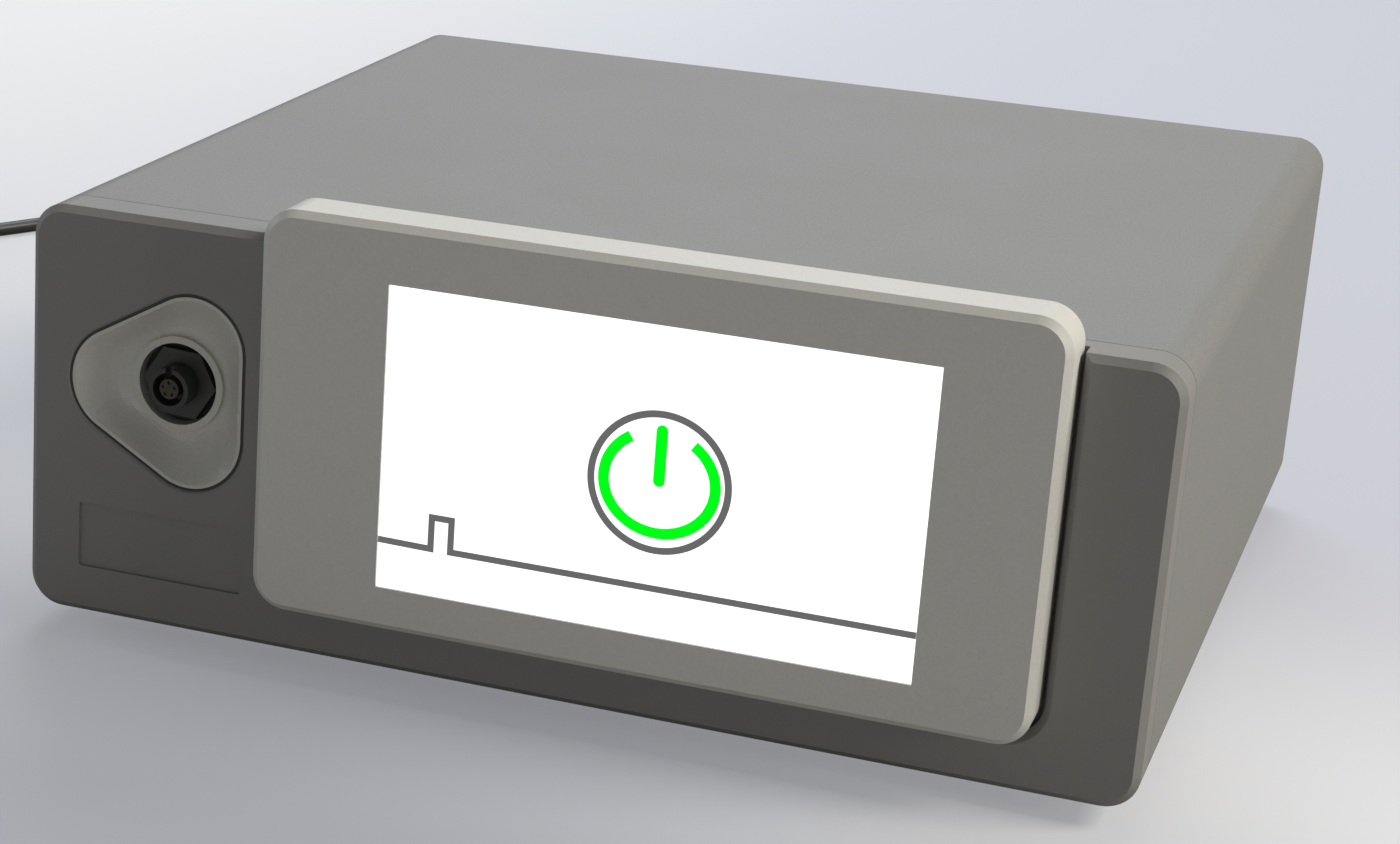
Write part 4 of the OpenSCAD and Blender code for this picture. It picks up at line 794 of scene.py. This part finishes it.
@dataclass
class MainsLead(SubAssembly):
    """The free lead: it leaves the strain relief, falls to the bench and ends in a coil."""

    nodes: tuple[str, ...] = (
        "gland_nut", "strain_relief", "cord_run", "cord_coil", "coil_tie", "plug_body",
        "plug_pins",
    )
    diameter: float = 5.7
    length: float = 1.77
    smooth: int = 4
    pitch: float = 6.2
    inner_radius: float = 25.5
    spiral_turns: float = 2.75
    climb_turns: float = 0.5
    steps: int = 24
    start_gap: float = 6.0
    layer_z: Pair = (3.75, 9.95)
    tail: float = 50.0
    tail_z: float = 12.0
    tail_steps: int = 8
    tail_rise: Pair = (0.1, 0.8)
    rib: Triple = (1.3, 0.9, 13.0)
    rib_edge: float = 0.3
    rib_side: float = 12.5
    rib_from: float = 24.0
    rib_pitch: float = 2.8
    ribs: int = 6
    start: Pair = (-125.0, 191.0)
    shape: tuple[Point, ...] = (
        (0, 0, 36), (0, 12, 35.6), (0, 24, 33.5), (-0.5, 35, 29), (-2, 45, 22.5), (-4, 55, 15.5),
        (-7, 65, 9.5), (-11, 76, 5.2), (-17, 87, 3.2), (-25, 97, 2.9), (-35, 106, 2.9),
        (-47, 113, 2.9), (-60, 118, 2.9), (-74, 121, 2.9), (-88, 123, 2.9), (-102, 123.9, 2.9),
        (-116, 123.9, 2.9), (-130, 123.9, 2.9), (-144, 123.9, 2.9), (-158, 123.9, 2.9),
        (-171, 123.9, 2.9), (-184, 123.9, 2.9), (-197, 122, 2.9), (-211, 118, 2.9),
        (-224, 110, 2.9), (-235, 100, 2.9), (-243, 89, 2.9), (-250, 77, 2.9), (-257, 65, 2.9),
        (-264, 53, 2.9), (-271, 41, 3.1), (-278, 29, 3.5), (-285, 17, 3.75),
    )

    def build(self) -> None:
        self.dress()
        points = self.route()
        curve = bpy.data.curves.new("mains_lead", "CURVE")
        curve.dimensions = "3D"
        spline = curve.splines.new("BEZIER")
        spline.bezier_points.add(len(points) - 1)
        for knot, place in zip(spline.bezier_points, points):
            knot.co = Vector(place) * MM
            knot.handle_left_type = knot.handle_right_type = "AUTO"
        spline.resolution_u = curve.bevel_resolution = self.smooth
        curve.bevel_depth = self.diameter / 2 * MM
        curve.use_fill_caps = True
        lead = linked("mains_lead", curve)
        self.mount(lead, "lead_jacket", replaces=("cord_run", "cord_coil"))
        ribs = self.plug_ribs(points[-1])

    def heading(self) -> tuple[Vector, Vector]:
        """Works out which way the lead runs where its stated shape ends.

        Returns:
            The way ahead and the way to its right, both level.
        """
        step = Vector(self.shape[-1]) - Vector(self.shape[-2])
        ahead = Vector((step.x, step.y, 0)).normalized()
        return ahead, Vector((ahead.y, -ahead.x, 0))

    def plug_ribs(self, end: Point) -> bpy.types.Object:
        """Sets grip ribs on both sides of the plug.

        Args:
            end: The end of the lead, where the plug begins.

        Returns:
            The ribs as one piece.
        """
        ahead, right = self.heading()
        turn = math.degrees(math.atan2(ahead.y, ahead.x))
        seats = []
        for side in (-self.rib_side, self.rib_side):
            for i in range(self.ribs):
                place = Vector(end) + (self.rib_from + self.rib_pitch * i) * ahead + side * right
                seats.append(Seat(tuple(place), (0.0, 0.0, turn)))
        rib = block("plug_rib", self.rib, self.rib_edge)
        return self.mount(repeated("plug_ribs", rib, seats, FINISHES["plug_black"]), "plug_black")

    def route(self) -> list[Point]:
        """Works out the middle line of the lead.

        Returns:
            Its points in millimetres, from the strain relief to the plug.
        """
        free = [(x + self.start[0], y + self.start[1], z) for x, y, z in self.shape]
        ahead, right = self.heading()
        begin = Vector((*free[-1][:2], 0)) + self.start_gap * ahead
        outer = self.inner_radius + self.pitch * self.spiral_turns
        centre = begin + outer * right
        first = math.atan2(-right.y, -right.x)
        dip = self.pitch * self.climb_turns / math.pi
        low, high = self.layer_z
        climbed = self.spiral_turns + self.climb_turns
        coil = []
        for i in range(round((self.spiral_turns + climbed) * self.steps) + 1):
            turn = i / self.steps
            share = along(turn, self.spiral_turns, self.climb_turns)
            if turn <= self.spiral_turns:
                radius = outer - self.pitch * turn
            elif turn >= climbed:
                radius = self.inner_radius + self.pitch * (turn - climbed)
            else:
                radius = self.inner_radius - dip * math.sin(math.pi * share)
            angle = first - 2 * math.pi * turn
            x, y = centre.x + radius * math.cos(angle), centre.y + radius * math.sin(angle)
            coil.append((x, y, eased(low, high, share)))
        tail = []
        rise_from, rise_to = self.tail_rise
        for i in range(1, self.tail_steps + 1):
            at = i / self.tail_steps
            place = begin + at * self.tail * ahead
            share = along(at, rise_from, rise_to - rise_from)
            tail.append((place.x, place.y, eased(high, self.tail_z, share)))
        return free + coil + tail


@dataclass
class DisplayPod(SubAssembly):
    """The display pod, with what its screen shows: a power mark in a ring and a pulse trace."""

    nodes: tuple[str, ...] = (
        "pod_bezel", "pod_back", "pod_gasket", "pod_screws", "pod_mount_screws", "touch_glass",
        "lcd_panel", "lcd_bracket", "display_board", "display_screws", "display_ribbon",
    )
    front: float = -161.54
    depth: float = 0.06
    ring_centre: Pair = (30.5, 79.4)
    ring_radius: float = 19.35
    ring_width: float = 2.0
    ring_steps: int = 96
    mark_radii: Pair = (15.75, 14.4)
    mark_width: float = 3.1
    mark_ends: Pair = (123.5, 415.3)
    mark_steps: int = 72
    bar_x: float = 30.4
    bar: Pair = (79.9, 94.1)
    bar_width: float = 3.3
    bar_steps: int = 16
    trace: tuple[Point, ...] = (
        (-49.9, 49.25), (-34.1, 49.0), (-34.1, 58.35), (-28.2, 58.35), (-28.2, 49.0),
        (103.9, 49.0),
    )
    trace_width: float = 1.9

    def build(self) -> None:
        """Builds the strokes that the screen shows."""
        self.dress()
        ring = arc(self.ring_centre, (self.ring_radius,) * 2, 0, 360, self.ring_steps)
        self.print_stroke("screen_ring", ring, self.ring_width, PULSE_GREY)
        mark = arc(self.ring_centre, self.mark_radii, *self.mark_ends, self.mark_steps)
        self.print_stroke("screen_power_arc", mark, self.mark_width, POWER_GREEN)
        self.build_bar()
        self.print_stroke("screen_pulse_trace", self.trace, self.trace_width, PULSE_GREY)

    def print_stroke(
        self, name: str, line: Sequence[Point], width: float, finish: Finish
    ) -> None:
        """Adds one stroke.

        Args:
            name: The piece's name.
            line: Its middle line, as (x, z).
            width: Its width.
            finish: Its colour.
        """
        self.mount(stroke(name, line, width, self.front, self.depth), "screen_glass", finish)

    def build_bar(self) -> None:
        """Builds the upright bar of the power mark, with round ends."""
        radii = (self.bar_width / 2,) * 2
        low, high = self.bar
        outline = arc((self.bar_x, high), radii, 0, 180, self.bar_steps)
        outline += arc((self.bar_x, low), radii, 180, 360, self.bar_steps)
        n = len(outline)
        points = [(x, y, z) for y in (self.front, self.front + self.depth) for x, z in outline]
        faces = [tuple(range(n)), tuple(range(2 * n - 1, n - 1, -1))]
        faces += [(i, i + n, (i + 1) % n + n, (i + 1) % n) for i in range(n)]
        bar = new_object("screen_power_bar", points, faces)
        tidy_mesh(bar, angle=30.0)
        self.mount(bar, "screen_glass", POWER_GREEN)


@dataclass
class CoolingFan(SubAssembly):
    """The fan behind the grille: rings pressed round its holes, and a plate on its hub."""

    nodes: tuple[str, ...] = ("fan_frame", "fan_screws", "fan_rotor")
    centre: Pair = (95.0, 67.75)
    pitch: float = 6.4
    reach: int = 4
    ring: tuple[Point, ...] = ((2.0, 152.9), (2.45, 152.9), (2.4, 153.06), (2.05, 153.06))
    ring_steps: int = 16
    plate: tuple[Point, ...] = (
        (0.4, 146.75), (7.2, 146.72), (11.7, 146.65), (12.0, 146.55), (12.0, 146.3), (0.4, 146.3),
    )
    plate_steps: int = 48

    def build(self) -> None:
        """Builds the grille's rings and the hub's plate."""
        self.dress()
        x, z = self.centre
        row = self.pitch * math.sqrt(3) / 2
        span = range(-self.reach, self.reach + 1)
        seats = [
            Seat((x + (i + j / 2) * self.pitch, 0.0, z + j * row))
            for i in span for j in span if abs(i + j) <= self.reach
        ]
        ring = turned("grille_ring", self.ring, self.ring_steps)
        rings = repeated("grille_rings", ring, seats, FINISHES["rear_paint"])
        self.mount(rings, "rear_paint")
        plate = turned("fan_hub_plate", self.plate, self.plate_steps)
        plate.data.transform(Matrix.Translation(Vector((x, 0, z)) * MM))
        self.mount(plate, "bright_steel", body="fan_wheel")


@dataclass
class MainsInlet(SubAssembly):
    """Power switch and fuse: marks on the rocker and grip ribs on the fuse knob."""

    nodes: tuple[str, ...] = (
        "switch_frame", "switch_rocker", "fuse_holder", "fuse_nut", "fuse_cap", "fuse_link",
    )
    pivot: Triple = (-75.0, 151.5, 80.0)
    rest_tilt: float = 10.0
    valley: float = 2.2
    crest: Pair = (4.3, 11.5)
    mark_at: float = 6.2
    mark_lift: float = 0.05
    on_bar: Triple = (1.1, 0.12, 4.6)
    on_edge: float = 0.04
    off_ring: tuple[Point, ...] = ((1.7, -0.06), (2.6, -0.06), (2.6, 0.06), (1.7, 0.06))
    off_steps: int = 40
    knob: Triple = (-30.0, 158.25, 80.0)
    knob_radius: float = 7.4
    rib: Triple = (0.6, 0.8, 5.3)
    ribs: int = 24

    def build(self) -> None:
        """Builds the marks and the ribs."""
        self.dress()
        self.mark(block("switch_mark_on", self.on_bar, self.on_edge), 1.0)
        self.mark(turned("switch_mark_off", self.off_ring, self.off_steps), -1.0)
        ribs = grown(
            "fuse_knob_ribs", ribs_tree(), FINISHES["part_black"], Count=self.ribs,
            Radius=self.knob_radius * MM, Rib=tuple(c * MM for c in self.rib),
            Centre=tuple(c * MM for c in self.knob),
        )
        self.mount(ribs, "part_black", body="fuse_carrier")

    def mark(self, obj: bpy.types.Object, side: float) -> None:
        """Lays a mark on one slope of the rocker.

        Args:
            obj: The mark, flat round the origin, facing along y.
            side: 1 for the upper slope and -1 for the lower one.
        """
        rise = math.atan2(self.crest[0] - self.valley, self.crest[1])
        place = Vector((0.0, math.sin(rise), side * math.cos(rise))) * self.mark_at
        place.y += self.valley + self.mark_lift
        lean = Matrix.Rotation(-side * rise, 4, "X")
        tilt = Matrix.Rotation(math.radians(-self.rest_tilt), 4, "X")
        seat = Matrix.Translation(Vector(self.pivot) * MM) @ tilt
        obj.data.transform(seat @ Matrix.Translation(place * MM) @ lean)
        self.mount(obj, "rocker_red", MARK_WHITE, body="power_rocker")


@dataclass
class Electronics(SubAssembly):
    """Boards, transformer and wiring, with the small parts soldered to the boards."""

    nodes: tuple[str, ...] = (
        "main_board", "main_board_parts", "capacitor_bank", "heat_sink", "power_transistors",
        "output_relays", "pulse_board", "pulse_board_headers", "supply_board",
        "supply_board_parts", "mains_transformer", "transformer_clamp", "board_standoffs",
        "board_screws", "mains_harness",
    )
    boards: tuple[str, ...] = ("main_board", "pulse_board", "supply_board")
    seed: int = 11
    chips: int = 30
    margin: float = 7.0
    chip: Triple = (3.2, 2.2, 1.2)

    def build(self) -> None:
        """Dresses the electronics and builds the chips on every board."""
        self.dress()
        inset = Vector((self.margin, self.margin)) * MM
        for number, node in enumerate(self.boards):
            low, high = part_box(node)
            chips = grown(
                node + "_chips", chips_tree(), FINISHES["part_black"], Count=self.chips,
                Seed=self.seed + number, Low=(*(low.xy + inset), high.z),
                High=(*(high.xy - inset), high.z), Chip=tuple(c * MM for c in self.chip),
            )
            self.mount(chips, "part_black")


@dataclass
class CaseShell(SubAssembly):
    """Painted sleeve and panels, the tray under them, and what holds them together."""

    nodes: tuple[str, ...] = (
        "case_sleeve", "front_panel", "rear_panel", "base_tray", "tie_rods", "rear_screws",
        "feet", "foot_screws",
    )


@dataclass
class OutputSocket(SubAssembly):
    """The satin cup in the front panel with the five-pole socket in it."""

    nodes: tuple[str, ...] = (
        "connector_cup", "cup_screws", "socket_body", "socket_insert", "socket_contacts",
        "socket_seal", "socket_locknut", "output_harness",
    )
    centre: Triple = (-121.0, -151.0, 79.1)
    side: float = 25.0
    corner: float = 16.75
    corner_steps: int = 16
    bead_radius: float = 0.55
    bead_sides: int = 12

    def build(self) -> None:
        """Dresses the solids and lays a dark bead round the cup, a painted shade in the gap
        between cup and panel.
        """
        self.dress()
        x, y, z = self.centre
        reach = self.side / math.sqrt(3)
        line: list[Point] = []
        for start in (0, 120, 240):
            middle = math.radians(start + 60)
            spot = (x + reach * math.cos(middle), z + reach * math.sin(middle))
            line += arc(spot, (self.corner,) * 2, start, start + 120, self.corner_steps)
        n = len(line)
        host = new_object(
            "cup_bead_line", [(u, y, v) for u, v in line],
            edges=[(i, (i + 1) % n) for i in range(n)],
        )
        # Painted shade: a dark bead laid where the gap between cup and panel lies in shadow.
        bead = grown(
            "cup_seal_bead", bead_tree(), PAINTED_SHADE_BEAD_GREY, host, Radius=self.bead_radius * MM,
            Sides=self.bead_sides,
        )
        tidy_mesh(bead, angle=60.0)
        self.mount(bead, "foot_rubber", PAINTED_SHADE_BEAD_GREY)


@dataclass(frozen=True)
class Lamp:
    """One soft rectangular lamp: place and size in metres, power in watts."""

    name: str
    place: Triple
    size: Pair
    power: float
    colour: Triple

    def hang(self, target: Point) -> None:
        """Hangs the lamp.

        Args:
            target: What it points at, in metres.
        """
        data = bpy.data.lights.new(self.name, "AREA")
        data.shape = "RECTANGLE"
        data.size, data.size_y = self.size
        data.energy, data.color = self.power, self.colour
        made = linked(self.name, data)
        made.location = self.place
        way = Vector(target) - Vector(self.place)
        made.rotation_euler = way.to_track_quat("-Z", "Y").to_euler()


# A warm lamp on the right, a cool one above and behind, and faint ones at the front and sides
LAMPS = (
    Lamp("lamp_right", (2.9, 0.35, 2.6), (1.5, 1.5), 129.0, (1.0, 0.95, 0.845)),
    Lamp("lamp_side", (2.6, -0.6, 0.8), (0.6, 0.6), 17.0, (1.0, 0.94, 0.84)),
    Lamp("lamp_front", (-0.15, -1.5, 0.22), (1.2, 0.35), 1.7, (1.0, 0.98, 0.94)),
    Lamp("lamp_left", (-2.4, 0.1, 0.9), (0.8, 0.8), 11.0, (0.93, 0.96, 1.0)),
    Lamp("lamp_back", (-0.5, 1.7, 1.7), (1.6, 1.0), 29.0, (0.91, 0.955, 1.0)),
)


@dataclass
class Studio:
    """Camera, floor, lamps and surroundings."""

    eye: Triple = (254.44, -945.02, 353.84)
    azimuth: float = -21.0109
    down: float = 18.1300
    roll: float = -2.6834
    lens: float = 81.773
    sensor: float = 36.0
    shift: Pair = (0.21857, 0.01286)
    clip: Pair = (0.05, 60.0)
    aim: Triple = (0.0, 0.0, 0.06)
    lamps: tuple[Lamp, ...] = LAMPS
    sky: tuple[float, ...] = (0.92, 0.95, 1.0, 1.0)
    sky_strength: float = 0.135
    floor_radius: float = 9.0
    floor_sides: int = 60
    floor_roughness: float = 0.7
    floor_bounce: tuple[float, ...] = (0.34, 0.34, 0.35, 1.0)
    shadow_lift: float = 0.45
    horizon: tuple[float, ...] = (0.72, 0.74, 0.79, 1.0)
    haze_span: Pair = (1.5, 4.5)
    tone_span: Pair = (-0.75, 0.25)
    tones: tuple[tuple[float, tuple[float, ...]], ...] = (
        (0.0, (0.82, 0.82, 0.825, 1.0)),
        (1.0, (0.55, 0.56, 0.63, 1.0)),
        (0.40, (0.67, 0.685, 0.73, 1.0)),
        (0.62, (0.60, 0.615, 0.68, 1.0)),
    )
    # Painted light: the floor's colour turns paler towards the front of the instrument.
    painted_light_front_span: Pair = (0.16, -0.14)
    painted_light_front_tone: tuple[float, ...] = (0.77, 0.775, 0.80, 1.0)
    # Painted shadow: a darker patch in the floor's colour in front of the instrument and to its
    # left.
    painted_shadow_place: Triple = (-0.05, -0.27, 0.0)
    painted_shadow_size: Triple = (0.36, 0.30, 1.0)
    painted_shadow_span: Pair = (0.0, 0.9)
    painted_shadow_tone: tuple[float, ...] = (0.41, 0.425, 0.475, 1.0)

    def build(self) -> None:
        """Builds the whole studio."""
        self.place_camera()
        self.lay_floor()
        for lamp in self.lamps:
            lamp.hang(self.aim)
        self.surround()
        bpy.context.scene.view_settings.view_transform = "Standard"

    def place_camera(self) -> None:
        """Places the camera at the photograph's eye point."""
        az, el, roll = (math.radians(a) for a in (self.azimuth, self.down, self.roll))
        ahead = Vector(
            (math.sin(az) * math.cos(el), math.cos(az) * math.cos(el), -math.sin(el))
        )
        level = ahead.cross(Vector((0, 0, 1))).normalized()
        right = math.cos(roll) * level + math.sin(roll) * ahead.cross(level)
        up = -ahead.cross(right)
        turn = Matrix((right, up, -ahead)).transposed().to_4x4()
        data = bpy.data.cameras.new("camera")
        data.lens, data.sensor_width = self.lens, self.sensor
        data.shift_x, data.shift_y = self.shift
        data.clip_start, data.clip_end = self.clip
        camera = linked("camera", data)
        camera.matrix_world = Matrix.Translation(Vector(self.eye) * MM) @ turn
        bpy.context.scene.camera = camera

    def lay_floor(self) -> None:
        """Lays a wide pale floor that keeps its shadows and fades to the horizon's colour."""
        radius, sides = self.floor_radius / MM, self.floor_sides
        rim = arc((0, 0), (radius, radius), 0, 360 * (sides - 1) / sides, sides - 1)
        floor = new_object("floor", [(x, y, 0.0) for x, y in rim], [tuple(range(sides))])
        mat = bpy.data.materials.new("floor_pale")
        mat.use_nodes = True
        maker, nodes = NodeMaker(mat.node_tree), mat.node_tree.nodes
        place = maker.add("ShaderNodeTexCoord").outputs["Object"]
        colour = self.floor_colour(maker, place)
        shader = nodes["Principled BSDF"]
        maker.feed(shader.inputs["Roughness"], self.floor_roughness)
        maker.feed(shader.inputs["Base Color"], colour)
        pale = maker.add("ShaderNodeEmission", Color=colour)
        haze = maker.add("ShaderNodeEmission", Color=self.horizon)
        dull = maker.add("ShaderNodeBsdfDiffuse", Color=self.floor_bounce)
        reach = maker.add("ShaderNodeVectorMath", {"operation": "LENGTH"}, Vector=place)
        far = maker.span(reach.outputs["Value"], self.haze_span)
        seen = maker.mix(self.shadow_lift, shader.outputs["BSDF"], pale.outputs["Emission"])
        seen = maker.mix(far, seen, haze.outputs["Emission"])
        camera = maker.add("ShaderNodeLightPath").outputs["Is Camera Ray"]
        whole = maker.mix(camera, dull.outputs["BSDF"], seen)
        maker.feed(nodes["Material Output"].inputs["Surface"], whole)
        floor.data.materials.append(mat)

    def floor_colour(self, maker: NodeMaker, place: Any) -> bpy.types.NodeSocket:
        """Adds the floor's tones: white far left, blue grey far right, paler towards the front as
        painted light, and darker in a patch in front as a painted shadow.

        Args:
            maker: The maker of the floor's nodes.
            place: The socket of the coordinates.

        Returns:
            The socket of the colour.
        """
        split = maker.add("ShaderNodeSeparateXYZ", Vector=place)
        seat = maker.add(
            "ShaderNodeMapping", {"vector_type": "TEXTURE"}, Location=self.painted_shadow_place,
            Scale=self.painted_shadow_size, Vector=place,
        )
        # Painted shadow: a spherical gradient that darkens the floor's colour in front of the
        # instrument.
        painted_shadow_gradient = maker.add(
            "ShaderNodeTexGradient", {"gradient_type": "SPHERICAL"}, Vector=seat.outputs["Vector"]
        )
        # Painted light: share of the paler tone, rising towards the front.
        painted_light_front_share = maker.span(split.outputs["Y"], self.painted_light_front_span)
        painted_shadow_share = maker.span(painted_shadow_gradient.outputs["Fac"], self.painted_shadow_span)
        colour = maker.ramp(maker.span(split.outputs["X"], self.tone_span), self.tones)
        for share, tone in ((painted_light_front_share, self.painted_light_front_tone), (painted_shadow_share, self.painted_shadow_tone)):
            colour = maker.mix(share, colour, tone, "RGB")
        return colour

    def surround(self) -> None:
        """Makes the even light from all round, and a pale sky behind the floor's edge."""
        world = bpy.data.worlds.new("surroundings")
        bpy.context.scene.world = world
        world.use_nodes = True
        maker, nodes = NodeMaker(world.node_tree), world.node_tree.nodes
        even = nodes["Background"]
        maker.feed(even.inputs["Color"], self.sky)
        maker.feed(even.inputs["Strength"], self.sky_strength)
        seen = maker.add("ShaderNodeBackground", Color=self.horizon)
        camera = maker.add("ShaderNodeLightPath").outputs["Is Camera Ray"]
        whole = maker.mix(camera, even.outputs["Background"], seen.outputs["Background"])
        maker.feed(nodes["World Output"].inputs["Surface"], whole)


def main() -> None:
    """Builds the studio and every sub-assembly, and raises if a solid is left without a finish."""
    logging.basicConfig(level=logging.INFO, format="%(message)s")
    Studio().build()
    for group in (
        MainsLead(), CaseShell(), DisplayPod(), OutputSocket(), CoolingFan(), MainsInlet(),
        Electronics(),
    ):
        group.build()
    bare = set(frame["nodes"]) - DRESSED
    if bare:
        raise ValueError(f"solids without a finish: {sorted(bare)}")


if __name__ == "__main__":
    main()
